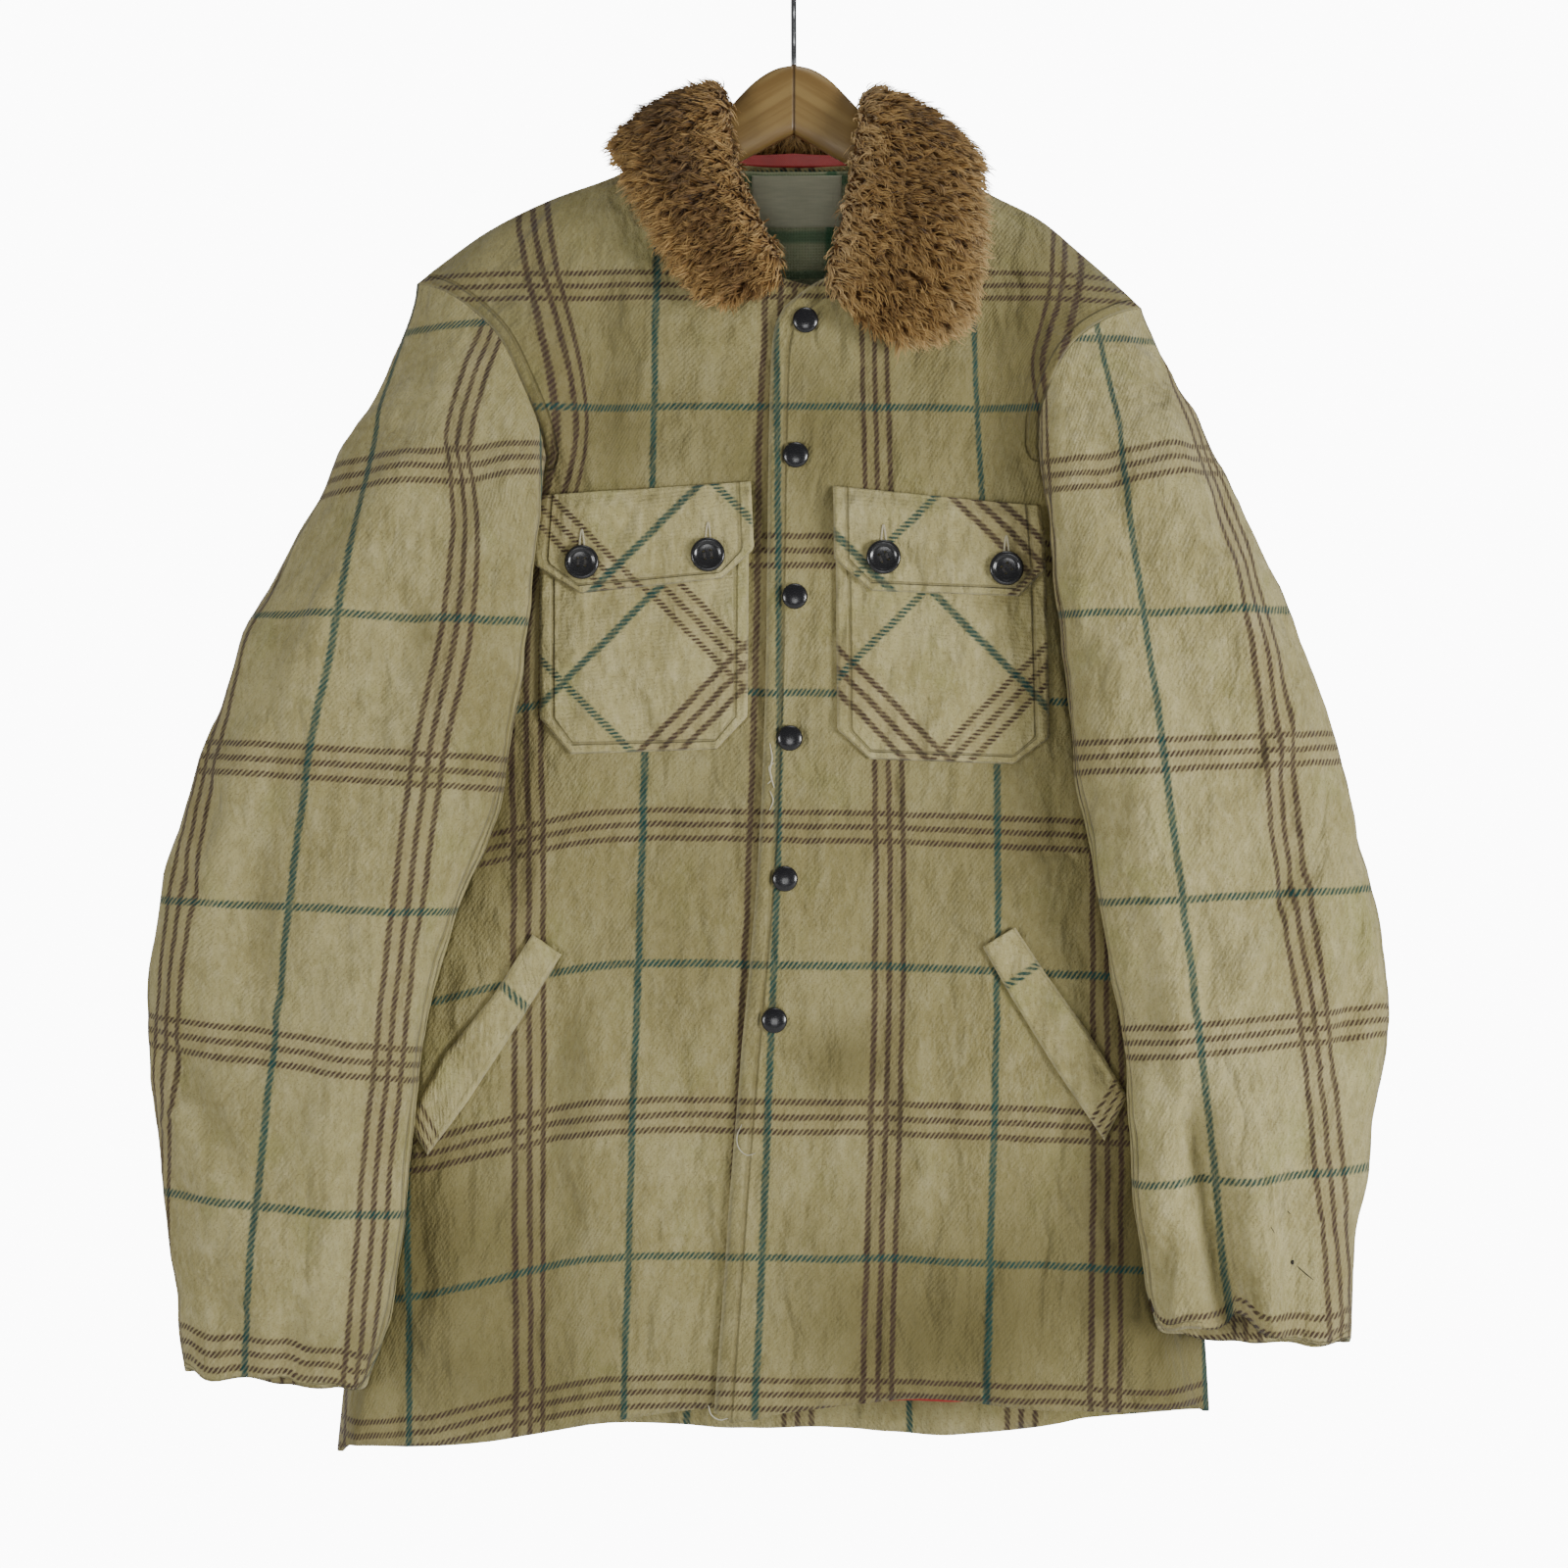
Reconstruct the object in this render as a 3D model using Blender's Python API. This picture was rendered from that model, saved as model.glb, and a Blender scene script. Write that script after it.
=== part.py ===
# Wool jacket on a wooden hanger.
# Metres, +Z up, the jacket's front faces -Y, the wearer's right is at -X.
# The origin is the inside top of the hanger's hook.
import math
import bpy
import bmesh
from mathutils import Vector
from mathutils.bvhtree import BVHTree

for old in list(bpy.data.objects):
    bpy.data.objects.remove(old, do_unlink=True)

MM = 0.001

# Driving dimensions
WOOL = 2.5 * MM           # thickness of the wool
SEAM = 0.3 * MM           # gap between pieces that are sewn together
LIFT = 0.6 * MM           # how far a piece sewn onto a panel stands off it
FACING = 1.0 * MM         # thickness of facing, label and lining
SIDE_DEPTH = 10.0 * MM    # depth of the side seams
WING_DEPTH = -4.0 * MM    # depth of the fronts where a sleeve hangs before them
RIDGE_REACH = 100.0 * MM  # how far below the shoulder the cloth is still turning
SIDE_REACH = 20.0 * MM    # how far in from a side seam the front is still turning
BACK_REACH = 70.0 * MM    # the same on the back
UNDERLAP = 45.0 * MM      # the right front runs this far under the left front
OVERLAP_RISE = WOOL + 0.6 * MM
PATCH_REACH = 9.0 * MM   # a laid-on piece clears the panel's highest point this near
NECK_HALF = 78.0 * MM     # neck point to the middle of the back
PILE = 22.0 * MM          # fur collar, with its pile

# Grid counts
LOW_ROWS = 12             # hem to underarm
HIDDEN_ROWS = 4           # underarm to the sleeve's inner fold, on a front
CAP_ROWS = 8              # from there to the shoulder tip, on a front
BACK_ROWS = 10            # underarm to the shoulder tip, on the back
PANEL_COLUMNS = 10        # neck point to the shoulder tip
NECK_COLUMNS = 6          # neck point to neck point, on the back
SLEEVE_ROWS = 18
TURNING = (0.2, 0.75, 0.9, 0.85, 0.35)   # share of the sleeve's own turn, from the inner fold on
TOP_EASE = 1.5            # rows of the body lie closer together towards the shoulder


def columns(names, *rows):
    # a table in millimetres, kept in metres, one list for each named column
    return {name: [row[i] * MM for row in rows] for i, name in enumerate(names.split())}


def read(table, key, column, value):
    # smooth curve through a table whose key column rises
    keys = table[key]
    values = table[column]
    if value <= keys[0]:
        return values[0] + (value - keys[0]) * (values[1] - values[0]) / (keys[1] - keys[0])
    if value >= keys[-1]:
        return values[-1] + (value - keys[-1]) * (values[-1] - values[-2]) / (keys[-1] - keys[-2])
    i = max(j for j in range(len(keys) - 1) if keys[j] <= value)

    def slope(j):
        a = max(j - 1, 0)
        b = min(j + 1, len(keys) - 1)
        return (values[b] - values[a]) / (keys[b] - keys[a])

    step = keys[i + 1] - keys[i]
    t = (value - keys[i]) / step
    return ((2 * t**3 - 3 * t**2 + 1) * values[i] + (t**3 - 2 * t**2 + t) * step * slope(i)
            + (-2 * t**3 + 3 * t**2) * values[i + 1] + (t**3 - t**2) * step * slope(i + 1))


def smooth(low, high, value):
    t = min(1.0, max(0.0, (value - low) / (high - low)))
    return t * t * (3 - 2 * t)


def turn(distance, reach):
    # 0 at an edge, 1 where the cloth has finished turning round it
    t = min(1.0, max(0.0, distance / reach))
    return math.sqrt(1 - (1 - t) ** 2)


# Widths and depths of the body at each height; out_ is the distance from the middle
BODY = columns("z out_right out_left front back",
               (-930, 284, 260, -33, 31),
               (-860, 277, 256, -34, 36),
               (-780, 268, 250, -37, 40),
               (-700, 258, 243, -40, 41),
               (-600, 248, 236, -41, 41),
               (-500, 240, 230, -41, 41),
               (-420, 234, 224, -41, 40),
               (-380, 300, 290, -41, 39),
               (-250, 420, 410, -40, 37),
               (-150, 520, 510, -36, 30),
               (-100, 560, 550, -34, 28))

# Inner fold of each sleeve in front of the body, where the fronts fall back behind it
SLEEVE_FOLD = columns("z right left",
                      (-930, 272, 238),
                      (-875, 257, 221),
                      (-834, 243, 216),
                      (-784, 237, 210),
                      (-730, 231, 204),
                      (-674, 223, 200),
                      (-620, 212, 191),
                      (-567, 195, 182),
                      (-508, 178, 171),
                      (-461, 168, 163),
                      (-417, 160, 157),
                      (-371, 154, 152),
                      (-300, 148, 147))

RIDGE_RIGHT = columns("out z",
                      (0, -100), (78, -121), (88, -125), (115, -137), (151, -150), (188, -168.6),
                      (218, -190), (233.2, -201.9))
RIDGE_LEFT = columns("out z",
                     (0, -100), (78, -121.5), (88, -126), (121, -146), (152, -162), (176, -182),
                     (200, -203), (215.2, -217.1))

# Seam from the underarm up to the shoulder tip, on a front and on the back
ARMHOLE = {
    "front_right": columns("out z", (234, -420), (185, -385), (158, -345), (149.8, -313.6),
                           (154.4, -293), (165.4, -266), (177.9, -241.3), (193.7, -223.8),
                           (213, -209.8), (233.2, -201.9)),
    "front_left": columns("out z", (224, -420), (180, -383), (156, -342), (147.8, -307.7),
                          (148.9, -287), (157, -264), (165.9, -247.8), (178.7, -234.5),
                          (196.2, -224.2), (215.2, -217.1)),
    "back_right": columns("out z", (234, -420), (195, -380), (178, -335), (175, -290), (183, -250),
                          (205, -218), (233.2, -201.9)),
    "back_left": columns("out z", (224, -420), (188, -378), (172, -335), (168, -292), (173, -258),
                         (190, -232), (215.2, -217.1)),
}
FOLD_POINT = 3            # index of the inner fold in a front armhole

HEM = {
    "front_right": columns("x z", (-282.4, -922.9), (-277, -915.5), (-232, -914.2), (-185, -911),
                           (-149, -905), (-101, -897), (-65, -892), (-45, -890), (0, -888)),
    "front_left": columns("x z", (-52, -890), (-38, -899), (-6, -893), (36, -888.5), (77, -885),
                          (113, -888), (149, -892), (190, -893.5), (254, -893), (259.5, -899.8)),
    "back": columns("x z", (-282.4, -922.9), (-230, -921), (-170, -917), (-104, -912), (-31, -915.7),
                    (31, -915), (92, -919.4), (154, -914.4), (185, -909.5), (240, -903),
                    (259.5, -899.8)),
}

# Front edge of the left front, which lies on top, and the necklines of both fronts
PLACKET = columns("z x",
                  (-899, -49), (-819, -43), (-748, -38), (-677, -32), (-600, -25), (-541, -20.8),
                  (-452, -17.3), (-363, -16), (-274, -14.3), (-235, -11.9), (-222, -6))
NECKLINE_LEFT = [(-6, -222), (10, -209), (34, -196), (55, -172), (68, -146), (78, -121.5)]
NECKLINE_RIGHT = [(36, -208), (8, -208), (-24, -196), (-50, -172), (-66, -146), (-78, -121)]
NECKLINE_DIP = 5.0 * MM   # the back neckline sags this much below the neck points

# Main folds of the body: a line from one end to the other, half width, height (+ stands out)
FOLDS = {
    "front": [((-176, -222), (-139, -318), 13, 9), ((-118, -215), (-112, -300), 12, -6),
              ((-128, -580), (-142, -700), 20, -4), ((-100, -640), (-88, -860), 26, 4),
              ((-200, -800), (-214, -905), 18, 4), ((-160, -790), (-166, -910), 16, -3),
              ((168, -232), (142, -314), 12, 8), ((118, -225), (112, -300), 12, -5),
              ((60, -560), (64, -760), 22, -4), ((96, -660), (104, -860), 24, 4),
              ((150, -740), (160, -890), 20, -4), ((200, -790), (212, -890), 20, 4)],
    "back": [((-150, -230), (-120, -380), 22, 6), ((140, -240), (110, -380), 20, 6),
             ((-60, -420), (-84, -720), 34, -5), ((40, -300), (56, -560), 30, 4),
             ((100, -560), (126, -900), 30, -5), ((-150, -600), (-180, -910), 30, 5),
             ((0, -620), (-8, -910), 30, 4), ((190, -700), (204, -900), 22, 4)],
}

# Each sleeve from just below the shoulder to the cuff: outer and inner edges as seen from the
# front, the depth of both edges, half the thickness, and how the back of the tube lies lower
# and further out than its edges
SLEEVE = {
    "right": columns(
        "outer outer_z inner inner_z outer_y inner_y half drop out",
        (253.8, -266, 152.0, -341.5, -12, -56, 30, 136, 75),
        (275.9, -306, 154.3, -371, -30, -60, 33, 125, 58),
        (307.4, -369, 160.2, -417, -40, -62, 34, 100, 32),
        (336.3, -431, 168.0, -461, -45, -62, 34, 76, 12),
        (356.9, -487, 178.1, -508, -46, -61, 34, 52, 0),
        (376.8, -552, 194.8, -567, -46, -60, 34, 30, 0),
        (389.0, -611, 211.7, -620, -46, -58, 34, 14, 0),
        (389.9, -665, 223.1, -674, -46, -56, 33, 6, 0),
        (385.0, -724, 231.0, -730, -45, -54, 32, 3, 0),
        (379.5, -778, 237.2, -784, -43, -52, 30, 4, 0),
        (372.1, -825, 243.4, -834, -42, -50, 28, 8, 0),
        (368.3, -864, 256.7, -873, -42, -48, 26, 10, 0)),
    "left": columns(
        "outer outer_z inner inner_z outer_y inner_y half drop out",
        (232.0, -257, 149.4, -337, -12, -56, 30, 140, 75),
        (248.3, -292, 151.7, -367, -30, -60, 33, 128, 60),
        (269.0, -337, 156.5, -405, -40, -62, 34, 104, 38),
        (290.9, -390, 162.5, -452, -45, -62, 34, 78, 14),
        (313.5, -452, 170.3, -505, -46, -61, 34, 54, 0),
        (331.7, -511, 181.1, -558, -46, -60, 34, 34, 0),
        (347.4, -570, 190.2, -611, -46, -58, 34, 18, 0),
        (356.7, -629, 198.1, -665, -46, -56, 33, 8, 0),
        (357.0, -677, 202.5, -712, -45, -54, 32, 4, 0),
        (348.5, -730, 206.2, -760, -43, -52, 30, 4, 0),
        (340.0, -784, 211.2, -808, -42, -50, 28, 8, 0),
        (337.3, -846, 216.2, -836, -42, -48, 27, 12, 0)),
}

# Folds of the sleeves. Around is a share of the way round from the outer edge over the front,
# down is a share of the length from the shoulder, depth is in millimetres (+ stands out)
SLEEVE_FOLDS = {
    "right": [(0.20, 0.10, 0.14, 0.55, 0.035, 6), (0.30, 0.06, 0.26, 0.50, 0.030, -5),
              (0.14, 0.30, 0.24, 0.72, 0.030, -5), (0.36, 0.40, 0.30, 0.95, 0.030, 4),
              (0.10, 0.66, 0.22, 0.80, 0.030, -5), (0.16, 0.86, 0.20, 1.00, 0.030, -5),
              (0.27, 0.88, 0.27, 1.00, 0.022, -4), (0.62, 0.12, 0.70, 0.50, 0.035, -5),
              (0.80, 0.20, 0.76, 0.90, 0.040, 5), (0.66, 0.60, 0.70, 1.00, 0.030, -5)],
    "left": [(0.18, 0.10, 0.14, 0.55, 0.035, 6), (0.30, 0.06, 0.24, 0.46, 0.030, -5),
             (0.13, 0.40, 0.22, 0.66, 0.028, -5), (0.34, 0.40, 0.36, 0.80, 0.028, 5),
             (0.31, 0.74, 0.27, 1.04, 0.024, -15), (0.20, 0.80, 0.19, 1.00, 0.030, 5),
             (0.10, 0.62, 0.16, 0.76, 0.024, -5), (0.64, 0.12, 0.70, 0.50, 0.035, -5),
             (0.80, 0.20, 0.76, 0.90, 0.040, 5), (0.66, 0.70, 0.70, 1.00, 0.030, -6)],
}

# Fur collar from the right front's end round the back to the left front's end:
# inner edge, outer edge, and how far the middle of a section is pushed out from the neck
COLLAR = columns(
    "in_x in_y in_z out_x out_y out_z bulge",
    (3, -50.5, -206, -44, -50, -229, 0),
    (-1, -49, -191, -68, -48.5, -209, 1),
    (-12, -46, -171, -86, -46, -181, 3),
    (-22, -39.5, -148, -101, -36, -154, 5),
    (-29, -29, -120, -111, -21.5, -132, 6),
    (-33, -22, -92, -113, -12, -123, 6),
    (-37, 2, -78, -112, 8, -122, 6),
    (-28, 32, -88, -84, 52, -140, 7),
    (0, 37, -96, 0, 61, -176, 4),
    (28, 32, -89, 84, 52, -146, 7),
    (38, 3, -78, 116, 8, -133, 6),
    (34, -24, -93, 119, -14, -137, 6),
    (29, -31, -122, 120, -25, -150, 6),
    (25, -41, -150, 119, -42, -182, 5),
    (19, -48.5, -176, 116, -51, -212, 3),
    (13, -51.5, -200, 106, -53.7, -238, 1),
    (14, -52.5, -217, 66, -53, -254, 0))
COLLAR_STATIONS = 44
COLLAR_ROUND = 16

# Chest pockets and flaps: corners down the left and the right edge, as seen from the front
POCKETS = {
    "right": {"pocket": ([(-154, -349), (-154, -471), (-135, -493)], [(-27, -342), (-28, -470), (-47, -490)]),
              "flap": ([(-155, -336.5), (-158, -378), (-129, -396)], [(-26, -328), (-24, -369), (-44, -387)])},
    "left": {"pocket": ([(25, -345), (26, -478), (46, -496)], [(152, -357), (155, -483), (133, -499)]),
             "flap": ([(23.6, -330.7), (24, -375), (47, -394.6)], [(149, -342.6), (152.5, -381), (136, -397.5)])},
}
FLAP_BUTTONS = [(-128, -377.2), (-52, -372.5), (54, -374.2), (128.4, -380.7)]
WELTS = {
    "right": ([(-158.4, -602), (-182, -639), (-211, -674), (-234, -716)],
              [(-140.8, -614.5), (-166, -655), (-198, -704), (-222, -736)]),
    "left": ([(114, -609.6), (131.6, -640), (158, -683), (188, -727)],
             [(134, -597.7), (152, -625), (178, -661), (202, -700)]),
}
SNAPS = [(7, -230.3), (1.1, -311.8), (0.5, -397.5), (-2.5, -483.2), (-5.4, -568.3), (-11.9, -654)]
SNAP_RADIUS = 7.8 * MM
BUTTON_RADIUS = 10.4 * MM
CUFF_BUTTON_RADIUS = 9.0 * MM
CUFF_BUTTONS = {"right": (-787, -821), "left": (-791, -823)}

# Wooden halves: distance from the middle, top, bottom, half thickness, depth of the middle
HANGER = {
    "right": columns("out top bottom half y",
                     (0.2, -68.6, -110.8, 7.5, -8), (11, -70.8, -116, 7.5, -8), (22, -77, -122, 7.5, -8),
                     (34, -88, -128, 7.5, -7), (58, -114.5, -142, 7.5, -5), (88, -136, -159, 7.5, -4),
                     (115, -143.0, -170, 8, -3), (151, -156.4, -183, 8, -3), (188, -175, -199, 8, -3),
                     (203, -185.3, -205, 7, -3)),
    "left": columns("out top bottom half y",
                    (0.2, -68.6, -110.8, 7.5, -8), (11, -71, -117, 7.5, -8), (22, -77.5, -123.5, 7.5, -8),
                    (34, -89, -130, 7.5, -7), (58, -114, -145, 7.5, -5), (88, -135.8, -161, 7.5, -4),
                    (121, -152.2, -180, 8, -3), (152, -170.2, -195, 8, -3), (176, -188.2, -209, 8, -3),
                    (188, -198.2, -214, 7, -3)),
}
HOOK_WIRE = 3.5 * MM
HOOK_INSIDE = 20.0 * MM   # inside radius of the hook

BAND_HALF = 42.0 * MM
FACING_HALF = 58.0 * MM
FACING_Z = (-129.5 * MM, -205.0 * MM)
LABEL = ((-26.0 * MM, 30.0 * MM), (-132.0 * MM, -163.0 * MM))

collection = bpy.data.collections.new("Wool jacket on a hanger")
bpy.context.scene.collection.children.link(collection)


def material(name, colour, roughness, metallic=0.0):
    made = bpy.data.materials.get(name)
    if made is None:
        made = bpy.data.materials.new(name)
        made.use_nodes = True
        shader = made.node_tree.nodes["Principled BSDF"]
        shader.inputs["Base Color"].default_value = (*colour, 1)
        shader.inputs["Roughness"].default_value = roughness
        shader.inputs["Metallic"].default_value = metallic
    return made


def wool():
    return material("wool", (0.34, 0.295, 0.155), 0.95)


def fur():
    return material("fur", (0.145, 0.08, 0.026), 0.9)


def lining():
    return material("lining", (0.32, 0.02, 0.015), 0.6)


def facing():
    return material("facing", (0.30, 0.34, 0.19), 0.8)


def label():
    return material("label", (0.36, 0.36, 0.27), 0.6)


def button():
    return material("button", (0.012, 0.013, 0.014), 0.25)


def wood():
    return material("wood", (0.25, 0.165, 0.06), 0.5)


def wire():
    return material("wire", (0.35, 0.36, 0.37), 0.3, 1.0)


def add(name, mesh, finish):
    piece = bpy.data.objects.new(name, mesh)
    piece.data.materials.append(finish)
    collection.objects.link(piece)
    return piece


def side_of(x):
    return "right" if x < 0 else "left"


def ridge(x):
    return read(RIDGE_RIGHT if x < 0 else RIDGE_LEFT, "out", "z", abs(x))


def fold_height(folds, x, z):
    total = 0.0
    for (x0, z0), (x1, z1), width, height in folds:
        ax = (x1 - x0) * MM
        az = (z1 - z0) * MM
        px = x - x0 * MM
        pz = z - z0 * MM
        along = (px * ax + pz * az) / (ax * ax + az * az)
        across = (px * az - pz * ax) / math.hypot(ax, az)
        ends = smooth(-0.15, 0.25, along) * (1 - smooth(0.75, 1.15, along))
        total += height * MM * ends * math.exp(-(across / (width * MM)) ** 2)
    return total


def front_y(x, z, panel):
    # depth of the outer face of a front
    out = abs(x)
    side = side_of(x)
    middle = read(BODY, "z", "front", z)
    fold = read(SLEEVE_FOLD, "z", side, z)
    behind_sleeve = smooth(fold - 2 * MM, fold + 35 * MM, out) * (1 - smooth(-0.36, -0.30, z))
    y = middle + (WING_DEPTH - middle) * behind_sleeve
    strip = abs(x - read(PLACKET, "z", "x", min(z, -0.222)) - UNDERLAP / 2)
    beside_strip = smooth(UNDERLAP / 2 + 2 * MM, UNDERLAP / 2 + 26 * MM, strip)
    y -= fold_height(FOLDS["front"], x, z) * (1 - behind_sleeve) * beside_strip
    y = SIDE_DEPTH + (y - SIDE_DEPTH) * turn(read(BODY, "z", "out_" + side, z) - out, SIDE_REACH)
    y *= turn(ridge(x) - z, RIDGE_REACH)
    if panel == "front_left":
        inside = x - read(PLACKET, "z", "x", min(z, -0.222))
        y -= OVERLAP_RISE * (1 - smooth(UNDERLAP + 12 * MM, UNDERLAP + 42 * MM, inside))
    return y


def back_y(x, z):
    # depth of the outer face of the back
    middle = read(BODY, "z", "back", z) + fold_height(FOLDS["back"], x, z)
    edge = read(BODY, "z", "out_" + side_of(x), z) - abs(x)
    y = SIDE_DEPTH + (middle - SIDE_DEPTH) * turn(edge, BACK_REACH)
    return y * turn(ridge(x) - z, RIDGE_REACH)


def walk(points, count, ease=1.0):
    # count + 1 points along a smooth line through the given ones, closer near its end if eased
    lengths = [0.0]
    for a, b in zip(points, points[1:]):
        lengths.append(lengths[-1] + math.dist(a, b))
    table = {"s": lengths, "x": [p[0] for p in points], "z": [p[1] for p in points]}
    total = lengths[-1]
    stops = [total * (1 - (1 - k / count) ** ease) for k in range(count + 1)]
    return [(read(table, "s", "x", s), read(table, "s", "z", s)) for s in stops]


def mirrored(panel):
    return -1 if panel.endswith("right") else 1


def armhole_line(panel):
    # from the underarm to the shoulder tip
    table = ARMHOLE[panel]
    points = [(mirrored(panel) * out, z) for out, z in zip(table["out"], table["z"])]
    if panel.startswith("back"):
        return walk(points, BACK_ROWS, TOP_EASE)
    return walk(points[:FOLD_POINT + 1], HIDDEN_ROWS) + walk(points[FOLD_POINT:], CAP_ROWS, TOP_EASE)[1:]


def side_line(panel):
    # from the hem to the underarm
    sign = mirrored(panel)
    column = "out_right" if sign < 0 else "out_left"
    low = -0.9229 if sign < 0 else -0.8998
    heights = [low + (-0.42 - low) * k / LOW_ROWS for k in range(LOW_ROWS + 1)]
    return [(sign * read(BODY, "z", column, z), z) for z in heights]


def front_rows(panel):
    # the two ends of every row of a front, from the hem up
    left = panel == "front_left"
    outer = side_line(panel) + armhole_line(panel)[1:]
    shift = 0.0 if left else UNDERLAP
    low = -0.892
    heights = [low + (-0.42 - low) * k / LOW_ROWS for k in range(LOW_ROWS + 1)]
    middle = [(read(PLACKET, "z", "x", z) + shift, z) for z in heights]
    neck = NECKLINE_LEFT if left else NECKLINE_RIGHT
    neck = [(x * MM, z * MM) for x, z in neck]
    edge_rows = 5
    top = neck[0][1]
    for k in range(1, edge_rows + 1):
        z = -0.42 + (top + 0.42) * k / edge_rows
        x = read(PLACKET, "z", "x", min(z, -0.222)) + shift
        middle.append((x if k < edge_rows else neck[0][0], z))
    middle += walk(neck, HIDDEN_ROWS + CAP_ROWS - edge_rows, TOP_EASE)[1:]
    return list(zip(middle, outer))


def spread(middle_x, outer_x, z, side):
    # shares of a row at which its columns stand, closer together where the front falls back
    fold = read(SLEEVE_FOLD, "z", side, z)
    length = abs(outer_x - middle_x)
    flat = (abs(outer_x) - fold + 4 * MM) / length
    start = max(0.5, 1 - flat)
    low = [start * k / 5 for k in range(6)] + [start + (1 - start) * s for s in (0.24, 0.48, 0.72, 0.9, 1)]
    even = [k / PANEL_COLUMNS for k in range(PANEL_COLUMNS + 1)]
    share = smooth(-0.41, -0.31, z)
    return [a + (b - a) * share for a, b in zip(low, even)]


def normal_of(surface, x, z, facing_sign):
    step = 0.4 * MM
    dx = (surface(x + step, z) - surface(x - step, z)) / (2 * step)
    dz = (surface(x, z + step) - surface(x, z - step)) / (2 * step)
    return Vector((-dx * facing_sign, facing_sign, -dz * facing_sign)).normalized()


def ridge_normal(x):
    step = 1 * MM
    slope = (ridge(x + step) - ridge(x - step)) / (2 * step)
    return Vector((-slope, 0, 1)).normalized()


def close_sheet(name, outer, normals, thickness, finish, closed=False):
    # a wall: the outer grid of points, and the same grid moved in along its normals
    rows = len(outer)
    count = len(outer[0])
    mesh = bmesh.new()
    top = [[mesh.verts.new(p) for p in row] for row in outer]
    under = [[mesh.verts.new(p - n * thickness) for p, n in zip(row, line)]
             for row, line in zip(outer, normals)]
    spans = count if closed else count - 1
    for j in range(rows - 1):
        for i in range(spans):
            k = (i + 1) % count
            mesh.faces.new((top[j][i], top[j][k], top[j + 1][k], top[j + 1][i]))
            mesh.faces.new((under[j][i], under[j + 1][i], under[j + 1][k], under[j][k]))
    for i in range(spans):
        k = (i + 1) % count
        mesh.faces.new((top[0][k], top[0][i], under[0][i], under[0][k]))
        mesh.faces.new((top[-1][i], top[-1][k], under[-1][k], under[-1][i]))
    if not closed:
        for j in range(rows - 1):
            mesh.faces.new((top[j][0], top[j + 1][0], under[j + 1][0], under[j][0]))
            mesh.faces.new((top[j + 1][-1], top[j][-1], under[j][-1], under[j + 1][-1]))
    bmesh.ops.recalc_face_normals(mesh, faces=mesh.faces[:])
    bmesh.ops.triangulate(mesh, faces=mesh.faces[:])
    data = bpy.data.meshes.new(name)
    mesh.to_mesh(data)
    mesh.free()
    return add(name, data, finish)


def hem_shift(panel, x, ends_z, row):
    # the hem's own curve, fading out towards the underarm
    table = HEM[panel]
    low = min(max(x, table["x"][0]), table["x"][-1])
    return (read(table, "x", "z", low) - ends_z) * (1 - row / LOW_ROWS) ** 2


def front(panel):
    side = side_of(mirrored(panel))
    surface = lambda x, z: front_y(x, z, panel)
    rows = front_rows(panel)
    last = len(rows) - 1
    points = []
    normals = []
    for j, (middle, outer) in enumerate(rows):
        line = []
        directions = []
        shares = spread(middle[0], outer[0], outer[1], side)
        for i, share in enumerate(shares):
            x = middle[0] + (outer[0] - middle[0]) * share
            z = middle[1] + (outer[1] - middle[1]) * share
            if j <= LOW_ROWS:
                z += hem_shift(panel, x, z, j) if 0 < i < PANEL_COLUMNS else 0
            if j > last - 5 and 0 < i < PANEL_COLUMNS:
                chord = rows[last][0][1] + (rows[last][1][1] - rows[last][0][1]) * share
                z += (ridge(x) - chord) * ((j - last + 5) / 5)
            y = surface(x, z)
            n = normal_of(surface, x, z, -1)
            if i == PANEL_COLUMNS and j <= LOW_ROWS:
                y = SIDE_DEPTH - SEAM / 2
                n = Vector((mirrored(panel), 0, 0))
            if j == last:
                y = -SEAM / 2
                n = ridge_normal(x)
            line.append(Vector((x, y, z)))
            directions.append(n)
        points.append(line)
        normals.append(directions)
    return close_sheet(panel, points, normals, WOOL, wool())


def back_edge(x):
    # top edge of the back: the neckline between the neck points, the shoulders beyond them
    if abs(x) >= NECK_HALF - 0.1 * MM:
        return ridge(x)
    point = ridge(-NECK_HALF) + (ridge(NECK_HALF) - ridge(-NECK_HALF)) * (x / NECK_HALF + 1) / 2
    return point - NECKLINE_DIP * (1 - (x / NECK_HALF) ** 2)


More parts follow.
